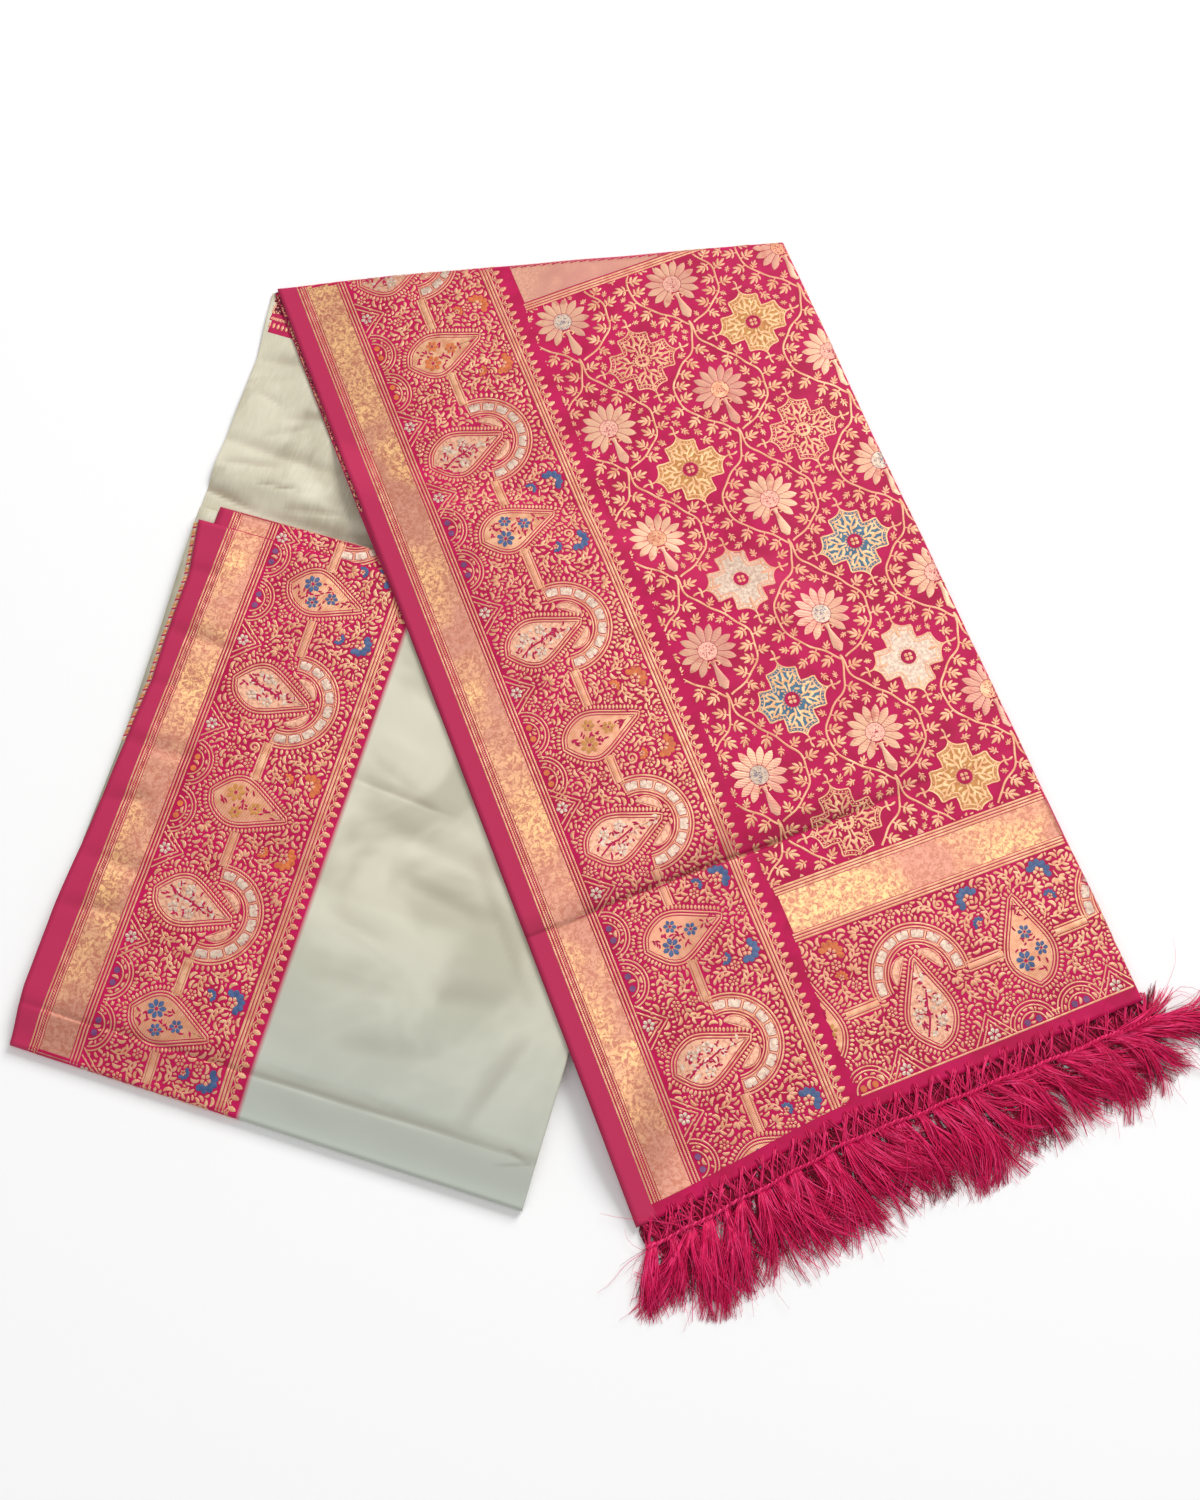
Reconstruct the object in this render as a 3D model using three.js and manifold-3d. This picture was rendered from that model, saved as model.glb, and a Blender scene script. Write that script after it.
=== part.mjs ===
// Banarasi sari, folded in half lengthwise and laid flat in a V. Millimetres, +Z up.
// The end piece with the tassels lies on top, turned back over a slanting fold, and the rest
// of the length is folded into a flat packet beside it.
import * as THREE from 'three';
import { mergeVertices } from 'three/addons/utils/BufferGeometryUtils.js';
import Module from 'manifold-3d';

const wasm = await Module();
wasm.setup();

const { degToRad, lerp, mapLinear, smoothstep } = THREE.MathUtils;

// Each strip's own axes: `across` runs over the cloth from its selvage, `along` runs up its
// length, and the corner and turn place them on the floor.
const PALLU_FRAME = { x: 17.08, y: -490.17, turn: 21.35 };
const PACKET_FRAME = { x: -597.92, y: -329.17, turn: -16.57 };

// Cloth and the clear space between two layers
const WALL = 1.5;
const GAP = 0.3;

// End piece: width folded in half, the hem, and the slanting fold at its top
const PALLU_WIDTH = 556;
const PALLU_TOP_LEFT = 1091;
const PALLU_TOP_SLOPE = -0.2818;
const PALLU_STRAIGHT = 390;
const PALLU_TOP_INSET = 5;
const PALLU_RIGHT_START = PALLU_WIDTH - 5;
const HEM_LIFT = 20;
const HEM_LIFT_WIDTH = 260;
const HEM_LIFT_FADE = 150;
const HEM_STRIP = 14;
const PALLU_PUFF = 4;
const PUFF_FROM_SELVAGE = 120;
const PUFF_FROM_HEM = 110;
const FOLD_PUFF = 0.7;
const FOLD_PUFF_WIDTH = 120;

// Pressed crease across the end piece, a valley that fades towards the fold
const CREASE_ALONG = 288;
const CREASE_DEPTH = 2.4;
const CREASE_WIDTH = 15;
const CREASE_FADE_START = 180;
const CREASE_FADE_END = 520;

// Lower half of the end piece, whose selvage shows a little past the upper one near the top
const UNDER_HALF_PEEK = 4;
const UNDER_HALF_LEAST = 0.8;
const UNDER_HALF_PEEK_START = 640;
const UNDER_HALF_PEEK_END = 800;

// Stretch that runs from the slanting fold down beneath the packet
const BODY_THICK = 3;
const BODY_LEFT = -26;
const BODY_RIGHT = 507;
const BODY_TAPER = 16;
const BODY_PUFF = 4.5;
const RIDGE_ALONG = 652;
const RIDGE_WIDTH = 26;
const LIFT_ALONG = 740;
const LIFT_WIDTH = 55;
const LIFT_SHARE = 0.5;

// Packet: width, height of its pile, the top edges of its two upper stretches, and the bottom
// edge, where the pile thins out beyond a soft crease
const PACKET_WIDTH = 533;
const PILE_TOP = 12.3;
const PILE_FOOT = 5.2;
const PILE_FOOT_ALONG = 6;
const PILE_FULL_ALONG = 50;
const FACE_TOP_ALONG = 585;
const SECOND_TOP_ALONG = 607;
const BOTTOM_SKEW = -8;

// Folds that turn over an edge end a little before they come full circle
const ROLL_END = degToRad(150);
const ROLL_STEPS = 4;
const SMALL_ROLL_STEPS = 3;
const SMALL_ROLL = 2.8;

// How the end piece comes down from the packet and from the stretch below it
const COVER_MARGIN = 50;
const COVER_FALL = 85;

// Fringe: knotted net, its twisted cord and the tassels
const TASSELS = 29;
const NET_TOP = 1.2;
const NET_DROP = 20;
const NET_THREAD = 2.2;
const NET_THICK = 0.9;
const NET_STAGGER = 0.12;
const CORD_WIDTH = 4;
const CORD_THICK = 1.4;
const CORD_STEPS = 12;
const LOCK_WIDTH = 3.9;
const LOCK_THICK = 1.2;
const LOCK_STEPS = 2;

// Selvage of the packet's top stretch, wavy from handling
const FACE_SELVAGE = [
  { along: 0, across: -3 },
  { along: 60, across: -9 },
  { along: 150, across: -10 },
  { along: 230, across: -6 },
  { along: 310, across: -4 },
  { along: 400, across: -1 },
  { along: 450, across: -4 },
  { along: 520, across: -5 },
  { along: 590, across: -18 },
];

// Left edge of the hidden pile, which looks out from under the top stretch
const PILE_EDGE = [
  { along: 0, across: 2 },
  { along: 150, across: -4 },
  { along: 210, across: -8 },
  { along: 340, across: -8 },
  { along: 400, across: -11 },
  { along: 465, across: -14 },
  { along: 552, across: -20 },
  { along: 610, across: -22 },
];

// Left edge of the stretch below, a plain fold that tucks in under the packet
const BODY_EDGE = [
  { along: 0, across: 4 },
  { along: 200, across: 0 },
  { along: 400, across: -10 },
  { along: 600, across: -24 },
  { along: 660, across: BODY_LEFT },
  { along: 810, across: -27 },
  { along: 900, across: -38 },
];

// Which way the tassels lie, from straight down the strip, and how long they are
const TASSEL_LAY = [
  { across: 0, lean: -24, length: 62 },
  { across: 70, lean: -8, length: 88 },
  { across: 180, lean: 10, length: 92 },
  { across: 300, lean: 22, length: 90 },
  { across: 420, lean: 34, length: 84 },
  { across: 500, lean: 46, length: 80 },
  { across: 540, lean: 64, length: 74 },
  { across: 562, lean: 96, length: 70 },
];

// The three locks of one tassel: where each starts, its own lean and its share of the length
const TASSEL_LOCKS = [
  { start: -4.3, lean: -3.2, share: 0.9 },
  { start: 0, lean: 0, share: 1 },
  { start: 4.3, lean: 3.2, share: 0.86 },
];

const COLOURS = {
  brocade: { color: 0xc8325f, roughness: 0.5, metalness: 0.1 },
  rose: { color: 0xc3375f, roughness: 0.6, metalness: 0 },
  cream: { color: 0xcfcab0, roughness: 0.45, metalness: 0 },
  fringe: { color: 0xbe0f46, roughness: 0.55, metalness: 0 },
};

// Linear reading of a table with named columns
function read(table, key, value, at) {
  const next = table.findIndex((row) => row[key] >= at);
  if (next === 0) return table[0][value];
  if (next < 0) return table[table.length - 1][value];
  const [from, to] = [table[next - 1], table[next]];
  return mapLinear(at, from[key], to[key], from[value], to[value]);
}

// Plan position on the floor of a point given in a strip's own axes, and the way back
function toFloor(frame, across, along) {
  const turn = degToRad(frame.turn);
  return [
    frame.x + across * Math.cos(turn) - along * Math.sin(turn),
    frame.y + across * Math.sin(turn) + along * Math.cos(turn),
  ];
}

function fromFloor(frame, x, y) {
  const turn = degToRad(frame.turn);
  const [dx, dy] = [x - frame.x, y - frame.y];
  return [
    dx * Math.cos(turn) + dy * Math.sin(turn),
    -dx * Math.sin(turn) + dy * Math.cos(turn),
  ];
}

// Evenly spaced numbers from one end to the other, both included
function spread(from, to, steps) {
  return Array.from({ length: steps + 1 }, (_, i) => lerp(from, to, i / steps));
}

// Outward direction in plan at each point of a loop that runs counter-clockwise
function outwardOf(loop, index) {
  const before = loop[(index + loop.length - 1) % loop.length];
  const after = loop[(index + 1) % loop.length];
  const way = new THREE.Vector2(after[1] - before[1], before[0] - after[0]);
  return way.normalize();
}

// Closed solid between an upper and a lower grid of points with like rows and columns.
// Each rim row stands at a share of the edge's height and reaches out by its own amount.
function gridSolid(upper, lower, rims = []) {
  const rows = upper.length;
  const columns = upper[0].length;
  const points = [...upper.flat(), ...lower.flat()];
  const faces = [];
  for (let j = 0; j < rows - 1; j += 1) {
    for (let i = 0; i < columns - 1; i += 1) {
      const a = j * columns + i;
      const b = a + 1;
      const c = b + columns;
      const d = a + columns;
      const below = rows * columns;
      faces.push(a, b, c, a, c, d);
      faces.push(below + a, below + c, below + b, below + a, below + d, below + c);
    }
  }
  const edge = [];
  for (let i = 0; i < columns; i += 1) edge.push(i);
  for (let j = 1; j < rows; j += 1) edge.push(j * columns + columns - 1);
  for (let i = columns - 2; i >= 0; i -= 1) edge.push((rows - 1) * columns + i);
  for (let j = rows - 2; j > 0; j -= 1) edge.push(j * columns);
  const rings = [edge.map((index) => index + rows * columns)];
  const loop = edge.map((index) => points[index]);
  for (const rim of rims) {
    const ring = edge.map((index, place) => {
      const top = points[index];
      const bottom = points[index + rows * columns];
      const way = outwardOf(loop, place);
      points.push([
        lerp(bottom[0], top[0], rim.height) + way.x * rim.reach,
        lerp(bottom[1], top[1], rim.height) + way.y * rim.reach,
        lerp(bottom[2], top[2], rim.height),
      ]);
      return points.length - 1;
    });
    rings.push(ring);
  }
  rings.push(edge);
  for (let k = 0; k < rings.length - 1; k += 1) {
    for (let p = 0; p < edge.length; p += 1) {
      const q = (p + 1) % edge.length;
      const [low, high] = [rings[k], rings[k + 1]];
      faces.push(low[p], low[q], high[q], low[p], high[q], high[p]);
    }
  }
  const geometry = new THREE.BufferGeometry();
  geometry.setAttribute('position', new THREE.Float32BufferAttribute(points.flat(), 3));
  geometry.setIndex(faces);
  return geometry;
}

// Rows and columns of a cloth: a place on the flat part, or the end of it with an angle over
// the fold that turns down there
function flatStops(places) {
  return places.map((place) => ({ place, angle: 0 }));
}

function rolledStops(place, steps) {
  return spread(0, ROLL_END, steps)
    .slice(1)
    .map((angle) => ({ place, angle }));
}

// How far over a fold an angle has come, as a share of its full drop
const FULL_DROP = 1 - Math.cos(ROLL_END);
const foldShare = (angle) => (1 - Math.cos(angle)) / FULL_DROP;

// Drop and reach, for a radius of one, where a second fold crosses the first at a corner. The
// reach no longer turns back there, so that the corner comes to a point.
const foldDrop = (angle, other) => FULL_DROP * (1 - (1 - foldShare(angle)) * (1 - foldShare(other)));
const foldReach = (angle, other) => lerp(Math.sin(angle), angle / ROLL_END, foldShare(other));

// Height of the pile in the packet, thin at its foot and full beyond the soft crease
function pileTop(along) {
  const share = smoothstep(along, PILE_FOOT_ALONG, PILE_FULL_ALONG);
  return lerp(PILE_FOOT, PILE_TOP, share);
}

const SECOND_HEIGHT = WALL + GAP;
const FACE_HEIGHT = 2 * (WALL + GAP);
const OVER_BODY = BODY_THICK + GAP;
const OVER_PACKET = PILE_TOP + FACE_HEIGHT + GAP;

// Height that the underside of the end piece keeps clear: the packet, then the stretch
// below it, then the floor
function restHeight(x, y) {
  const [across, along] = fromFloor(PACKET_FRAME, x, y);
  const fall = COVER_MARGIN + COVER_FALL;
  const overBody = 1 - smoothstep(across - BODY_RIGHT, COVER_MARGIN, fall);
  const besidePacket = 1 - smoothstep(across - PACKET_WIDTH, COVER_MARGIN, fall);
  const abovePacket = 1 - smoothstep(along - SECOND_TOP_ALONG, COVER_MARGIN, fall);
  const packetShare = besidePacket * abovePacket;
  return Math.max(OVER_BODY * overBody, OVER_PACKET * packetShare);
}

// Slanting fold at the top of the end piece, the hem's slight rise, and rows between them
const topLine = (across) => PALLU_TOP_LEFT + PALLU_TOP_SLOPE * across;
const TOP_NORMAL = new THREE.Vector2(-PALLU_TOP_SLOPE, 1).normalize();

function hemLift(across, along) {
  const fade = 1 - smoothstep(along, 0, HEM_LIFT_FADE);
  return HEM_LIFT * smoothstep(across, 0, HEM_LIFT_WIDTH) * fade;
}

function palluAlong(across, row) {
  if (row <= PALLU_STRAIGHT) return row + hemLift(across, Math.max(row, 0));
  const share = mapLinear(row, PALLU_STRAIGHT, PALLU_TOP_LEFT, 0, 1);
  return lerp(PALLU_STRAIGHT, topLine(across) - PALLU_TOP_INSET, share);
}

const PALLU_ROWS = [
  -HEM_STRIP, 0, 28, 66, 108, 150, 190, 230, 260, 278, CREASE_ALONG, 298, 316, 350, PALLU_STRAIGHT,
];
const UPPER_ROWS = spread(PALLU_STRAIGHT, PALLU_TOP_LEFT, 13).slice(1);
const PALLU_COLUMNS = [0, 22, 55, 100, 150, 200, 250, 300, 350, 400, 450, 495, 528];

// Height of the end piece's upper face above the lower half
function palluPuff(across, along) {
  const fromSelvage = smoothstep(across, 0, PUFF_FROM_SELVAGE);
  const fromHem = smoothstep(along, 0, PUFF_FROM_HEM);
  const fade = 1 - smoothstep(across, CREASE_FADE_START, CREASE_FADE_END);
  const flank = Math.max(0, 1 - Math.abs(along - CREASE_ALONG) / CREASE_WIDTH);
  const byFold = FOLD_PUFF * smoothstep(across, PALLU_WIDTH - FOLD_PUFF_WIDTH, PALLU_RIGHT_START);
  const puff = PALLU_PUFF * Math.max(fromSelvage * fromHem, byFold);
  return puff - Math.min(CREASE_DEPTH * flank * fade, puff);
}

// Upper stretch of the end piece, folded down over its right edge and its slanting top
function palluPoint(column, row, inset) {
  const flatAlong = palluAlong(column.place, row.place);
  const [x, y] = toFloor(PALLU_FRAME, column.place, flatAlong);
  const topHeight = restHeight(x, y) + 2 * WALL + GAP + palluPuff(column.place, flatAlong);
  const inner = (topHeight - GAP) / FULL_DROP - inset;
  const across = column.place + inner * foldReach(column.angle, row.angle);
  const over = inner * foldReach(row.angle, column.angle);
  const [px, py] = toFloor(
    PALLU_FRAME,
    across + over * TOP_NORMAL.x,
    flatAlong + over * TOP_NORMAL.y,
  );
  return [px, py, topHeight - inset - inner * foldDrop(column.angle, row.angle)];
}

function palluFace() {
  const columns = [
    ...flatStops([...PALLU_COLUMNS, PALLU_RIGHT_START]),
    ...rolledStops(PALLU_RIGHT_START, ROLL_STEPS),
  ];
  const rows = [
    ...flatStops([...PALLU_ROWS, ...UPPER_ROWS]),
    ...rolledStops(PALLU_TOP_LEFT, ROLL_STEPS),
  ];
  const surface = (inset) => rows.map((row) => columns.map((column) => palluPoint(column, row, inset)));
  return gridSolid(surface(0), surface(WALL));
}

// Lower half of the end piece, flat on what lies below it
function palluUnderHalf() {
  const lastColumn = PALLU_RIGHT_START + 0.4;
  const rows = [...PALLU_ROWS, ...UPPER_ROWS.slice(0, -1), PALLU_TOP_LEFT - 2.5];
  const surface = (raise) => rows.map((row) => {
    const share = smoothstep(row, UNDER_HALF_PEEK_START, UNDER_HALF_PEEK_END);
    const selvage = -lerp(UNDER_HALF_LEAST, UNDER_HALF_PEEK, share);
    return [selvage, ...PALLU_COLUMNS, lastColumn].map((across) => {
      const [x, y] = toFloor(PALLU_FRAME, across, palluAlong(across, row));
      return [x, y, restHeight(x, y) + raise];
    });
  });
  return gridSolid(surface(WALL), surface(0));
}

// Ridge and soft lift of the stretch below, just above the packet, where it is pushed up.
// Both die out towards the packet's edge and towards the selvage of the end piece.
function bodyPuff(x, y) {
  const along = fromFloor(PACKET_FRAME, x, y)[1];
  const beyondSelvage = -fromFloor(PALLU_FRAME, x, y)[0];
  const ridge = Math.exp(-(((along - RIDGE_ALONG) / RIDGE_WIDTH) ** 2));
  const lift = LIFT_SHARE * Math.exp(-(((along - LIFT_ALONG) / LIFT_WIDTH) ** 2));
  const clear = smoothstep(along, SECOND_TOP_ALONG + 14, RIDGE_ALONG - 6);
  return BODY_PUFF * (ridge + lift) * clear * smoothstep(beyondSelvage, 25, 75);
}

function bodyBack() {
  const rows = [
    4.5, 80, 160, 240, 320, 400, 480, 560, 612, 634, 652, 670, 690, 715, 740, 765, 790, 820, 850, 1,
  ];
  const columns = [0, 0.06, 0.14, 0.22, 0.3, 0.42, 0.6, 0.8, 1];
  const topAlong = (across) => {
    const [leftX, leftY] = toFloor(PALLU_FRAME, 0, PALLU_TOP_LEFT);
    const [left, base] = fromFloor(PACKET_FRAME, leftX, leftY);
    const [rightX, rightY] = toFloor(PALLU_FRAME, PALLU_WIDTH, topLine(PALLU_WIDTH));
    const [right, end] = fromFloor(PACKET_FRAME, rightX, rightY);
    return mapLinear(across, left, right, base, end) - PALLU_TOP_INSET - 1;
  };
  const surface = (isUpper) => rows.map((row) => columns.map((share) => {
    const isLast = row === 1;
    const edgeAlong = isLast ? 900 : row;
    const left = read(BODY_EDGE, 'along', 'across', edgeAlong);
    const right = BODY_RIGHT - (isLast ? BODY_TAPER : 0);
    const across = lerp(left, right, share);
    const skew = mapLinear(Math.min(edgeAlong, 850), 4.5, 850, 0, 1);
    const top = topAlong(across);
    const along = isLast ? top : lerp(edgeAlong, mapLinear(edgeAlong, 0, 900, 0, top), skew);
    const [x, y] = toFloor(PACKET_FRAME, across, along);
    return [x, y, isUpper ? BODY_THICK + bodyPuff(x, y) : 0];
  }));
  return gridSolid(surface(true), surface(false));
}

// Rows that the packet's layers share, so that they follow one another closely
const PACKET_ROWS = [14, 22, 30, 38, 50, 110, 180, 250, 320, 390, 460, 520];
const packetSkew = (across, along) => BOTTOM_SKEW * (across / PACKET_WIDTH) * (1 - along / SECOND_TOP_ALONG);

function packetSurface(rows, leftEdge, right, height) {
  return rows.map((row) => spread(0, 1, 9).map((share) => {
    const across = lerp(leftEdge(row), right, share);
    const [x, y] = toFloor(PACKET_FRAME, across, row + packetSkew(across, row));
    return [x, y, height(row)];
  }));
}

// Hidden folds of the packet as one rounded solid, layered at its edges
function bodyFolds() {
  const rows = [9, ...PACKET_ROWS, 560, 600];
  const layers = 4;
  const rims = [];
  for (let layer = 0; layer < layers; layer += 1) {
    rims.push({ height: (layer + 0.5) / layers, reach: 0.7 });
    if (layer < layers - 1) rims.push({ height: (layer + 1) / layers, reach: -0.8 });
  }
  const left = (row) => read(PILE_EDGE, 'along', 'across', row);
  const right = PACKET_WIDTH - SMALL_ROLL - 2.2;
  return gridSolid(
    packetSurface(rows, left, right, pileTop),
    packetSurface(rows, left, right, () => OVER_BODY),
    rims,
  );
}

// Second stretch, whose fold looks out above the top one
function bodySecond() {
  const start = SECOND_TOP_ALONG - SMALL_ROLL;
  const rows = [...flatStops([8, ...PACKET_ROWS, 560, start]), ...rolledStops(start, SMALL_ROLL_STEPS)];
  const right = PACKET_WIDTH - SMALL_ROLL - 0.8;
  const surface = (inset) => rows.map((row) => spread(0, right, 9).map((across) => {
    const inner = SMALL_ROLL - inset;
    const along = row.place + packetSkew(across, row.place) + inner * Math.sin(row.angle);
    const [x, y] = toFloor(PACKET_FRAME, across, along);
    const top = pileTop(row.place) + SECOND_HEIGHT;
    return [x, y, top - inset - inner * (1 - Math.cos(row.angle))];
  }));
  return gridSolid(surface(0), surface(WALL));
}

// Top stretch of the packet, folded down over its right edge and round the whole bottom edge
function bodyFace() {
  const footTop = pileTop(0) + FACE_HEIGHT;
  const footRadius = (footTop - GAP) / FULL_DROP;
  const rightStart = PACKET_WIDTH - SMALL_ROLL;
  const rows = [
    ...rolledStops(footRadius, ROLL_STEPS).reverse(),
    ...flatStops([footRadius, 9, ...PACKET_ROWS, 556, FACE_TOP_ALONG]),
  ];
  const columns = [
    ...flatStops(spread(0, rightStart, 10)),
    ...rolledStops(rightStart, SMALL_ROLL_STEPS),
  ];
  const surface = (inset) => rows.map((row) => columns.map((column) => {
    const edge = read(FACE_SELVAGE, 'along', 'across', row.place);
    const flatAcross = mapLinear(column.place, 0, rightStart, edge, rightStart);
    const across = flatAcross + (SMALL_ROLL - inset) * foldReach(column.angle, row.angle);
    const skewed = row.place + packetSkew(flatAcross, row.place);
    const along = skewed - (footRadius - inset) * foldReach(row.angle, column.angle);
    const [x, y] = toFloor(PACKET_FRAME, across, along);
    const footDrop = (footRadius - inset) * FULL_DROP * foldShare(row.angle);
    const sideDrop = (SMALL_ROLL - inset) * FULL_DROP * foldShare(column.angle);
    const top = pileTop(row.place) + FACE_HEIGHT;
    return [x, y, top - inset - footDrop - sideDrop * (1 - foldShare(row.angle))];
  }));
  return gridSolid(surface(0), surface(WALL));
}

// Bar with four sides along a run of centre points, each with its width and thickness
function bar(stations) {
  const ways = stations.map((station, i) => {
    const before = stations[Math.max(0, i - 1)].at;
    const after = stations[Math.min(stations.length - 1, i + 1)].at;
    return new THREE.Vector2(before.y - after.y, after.x - before.x).normalize();
  });
  const lines = (side, level) => stations.map(({ at, width, thick }, i) => [
    at.x + (ways[i].x * side * width) / 2,
    at.y + (ways[i].y * side * width) / 2,
    at.z + (level * thick) / 2,
  ]);
  const row = (level) => [lines(-1, level), lines(1, level)];
  return gridSolid(row(1), row(-1));
}

function toManifold(geometry) {
  const merged = mergeVertices(geometry, 1e-4);
  return new wasm.Manifold(new wasm.Mesh({
    numProp: 3,
    vertProperties: new Float32Array(merged.attributes.position.array),
    triVerts: new Uint32Array(merged.index.array),
  }));
}

function toGeometry(manifold) {
  const mesh = manifold.getMesh();
  const geometry = new THREE.BufferGeometry();
  geometry.setAttribute('position', new THREE.Float32BufferAttribute(mesh.vertProperties, 3));
  geometry.setIndex(Array.from(mesh.triVerts));
  return geometry;
}

// Point on the fringe: how far across the strip, how far below the hem strip, and its height
function fringePoint(across, below, z) {
  const along = hemLift(across, 0) - HEM_STRIP - below;
  const [x, y] = toFloor(PALLU_FRAME, across, along);
  return new THREE.Vector3(x, y, z);
}

// Small repeatable unevenness between -1 and 1
const uneven = (seed) => Math.sin(seed * 12.9898) * Math.cos(seed * 4.1414 + 1.3);

// One half's fringe: net threads that cross just below the hem, a cord and free locks
function fringe({ level, locks, netSides, lengthShare, tipHeight }) {
  const pitch = PALLU_WIDTH / TASSELS;
  const solids = [];
  const strand = (from, to, width) => solids.push(bar([
    { at: from, width, thick: NET_THICK },
    { at: to, width, thick: NET_THICK },
  ]));
  solids.push(bar(spread(2, PALLU_WIDTH - 4, CORD_STEPS).map((across) => ({
    at: fringePoint(across, NET_DROP, level),
    width: CORD_WIDTH,
    thick: CORD_THICK,
  }))));
  for (let tassel = 0; tassel < TASSELS; tassel += 1) {
    const centre = (tassel + 0.5) * pitch;
    for (const side of netSides) {
      strand(
        fringePoint(centre + side * pitch * 0.4, NET_TOP, level + side * NET_STAGGER),
        fringePoint(centre - side * pitch * 0.3, NET_DROP, level + side * NET_STAGGER),
        NET_THREAD,
      );
    }
    const lean = read(TASSEL_LAY, 'across', 'lean', centre);
    const length = read(TASSEL_LAY, 'across', 'length', centre) * lengthShare;
    locks.forEach((lock, index) => {
      const seed = tassel * 3 + index;
      const angle = degToRad(PALLU_FRAME.turn - 90 + lean + lock.lean + uneven(seed));
      const full = length * lock.share * (1 + 0.1 * uneven(seed + 40));
      const root = fringePoint(centre + lock.start, NET_DROP, level);
      const bend = degToRad(5 * uneven(tassel + 7));
      const stations = spread(0, 1, LOCK_STEPS).map((share) => ({
        at: new THREE.Vector3(
          root.x + full * share * Math.cos(angle + bend * share),
          root.y + full * share * Math.sin(angle + bend * share),
          lerp(level, tipHeight, share ** 1.5),
        ),
        width: lerp(LOCK_WIDTH, 1.4, share ** 2),
        thick: lerp(LOCK_THICK, 0.7, share),
      }));
      solids.push(bar(stations));
    });
  }
  const joined = solids.map(toManifold).reduce((whole, solid) => whole.add(solid));
  return toGeometry(joined);
}

const fringeFace = () => fringe({
  level: 2 * WALL + GAP - CORD_THICK / 2,
  locks: TASSEL_LOCKS,
  netSides: [-1, 1],
  lengthShare: 1,
  tipHeight: 2.35,
});

const fringeUnder = () => fringe({
  level: CORD_THICK / 2 + 0.1,
  locks: TASSEL_LOCKS.slice(1, 2),
  netSides: [1],
  lengthShare: 0.9,
  tipHeight: 0.5,
});

const PIECES = [
  { name: 'body_back', make: bodyBack, look: COLOURS.cream },
  { name: 'body_folds', make: bodyFolds, look: COLOURS.cream },
  { name: 'body_second', make: bodySecond, look: COLOURS.brocade },
  { name: 'body_face', make: bodyFace, look: COLOURS.brocade },
  { name: 'pallu_under_half', make: palluUnderHalf, look: COLOURS.rose },
  { name: 'pallu_face', make: palluFace, look: COLOURS.brocade },
  { name: 'fringe_under', make: fringeUnder, look: COLOURS.fringe },
  { name: 'fringe_face', make: fringeFace, look: COLOURS.fringe },
];

const sari = new THREE.Group();
for (const piece of PIECES) {
  const mesh = new THREE.Mesh(piece.make(), new THREE.MeshStandardMaterial(piece.look));
  mesh.name = piece.name;
  sari.add(mesh);
}

export default sari;
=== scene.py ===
"""Banarasi sari, folded in half lengthwise and laid flat in a V on a pale floor.

Working lengths are millimetres in the frame's axes, and MM turns them into metres. Every
cloth has its own two axes: u runs across it from the selvage and v runs up its length.
"""
import math

import bpy
import numpy as np
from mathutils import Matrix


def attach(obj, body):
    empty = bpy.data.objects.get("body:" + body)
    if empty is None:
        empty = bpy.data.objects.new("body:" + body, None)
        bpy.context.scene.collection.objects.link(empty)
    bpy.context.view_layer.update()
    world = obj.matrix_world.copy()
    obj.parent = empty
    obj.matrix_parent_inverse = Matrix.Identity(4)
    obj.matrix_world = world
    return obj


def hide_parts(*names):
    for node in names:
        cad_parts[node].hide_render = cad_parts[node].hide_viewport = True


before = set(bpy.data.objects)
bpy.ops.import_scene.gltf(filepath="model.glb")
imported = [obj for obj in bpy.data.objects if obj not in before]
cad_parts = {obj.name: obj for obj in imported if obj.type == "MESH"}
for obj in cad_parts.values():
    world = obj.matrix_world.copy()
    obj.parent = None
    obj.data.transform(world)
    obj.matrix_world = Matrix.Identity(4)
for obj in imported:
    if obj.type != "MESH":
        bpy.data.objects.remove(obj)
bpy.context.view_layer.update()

MM = 0.001

# Camera, matched to the picture
CAMERA_PLACE = (-0.0138, -0.56199, 1.806)
CAMERA_TILT = 16.72
CAMERA_LENS = 43.2
SENSOR = 36

# Name, place, size and power of each light, and the strength of the studio round them
LIGHTS = [
    ("key", (3.2, 4.8, 4.0), 3.2, 440), ("fill", (-2.4, -2.4, 2.8), 3.0, 26),
    ("top", (0.0, -0.4, 3.6), 3.0, 14),
]
STUDIO = 0.37

# Strips on the floor: corner and turn of each, as in the frame
PALLU_FRAME = (17.08, -490.17, math.radians(21.35))
PACKET_FRAME = (-597.92, -329.17, math.radians(-16.57))

# Sizes that the frame's solids were made from
WALL = 1.5
GAP = 0.3
SHELL = 0.9
PALLU_WIDTH = 556
PALLU_RIGHT_START = 551
PALLU_TOP_LEFT = 1091
PALLU_TOP_SLOPE = -0.2818
PALLU_TOP_INSET = 5
PALLU_STRAIGHT = 390
HEM_LIFT = 20
HEM_LIFT_WIDTH = 260
HEM_LIFT_FADE = 150
HEM_STRIP = 14
SIDE_END = 247
FIELD_START = 249
FIELD_TOP = 957
BAND_END = 562
PALLU_PUFF = 4
PUFF_FROM_SELVAGE = 120
PUFF_FROM_HEM = 110
FOLD_PUFF = 0.7
FOLD_PUFF_START = 436
BODY_THICK = 3
BODY_RIGHT = 507
BODY_TAPER = 16
BODY_PUFF = 4.5
BACK_START = 4.5
BACK_LEAN_END = 850
BACK_END = 900
PACKET_WIDTH = 533
PILE_TOP = 12.3
PILE_FOOT = 5.2
SECOND_TOP_ALONG = 607
FACE_TOP_ALONG = 585
BOTTOM_SKEW = -8
SMALL_ROLL = 2.8
CORNER_RISE = 0.9
COVER_MARGIN = 50
COVER_END = 135
ROLL_END = math.radians(150)
FULL_DROP = 1 - math.cos(ROLL_END)
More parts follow.
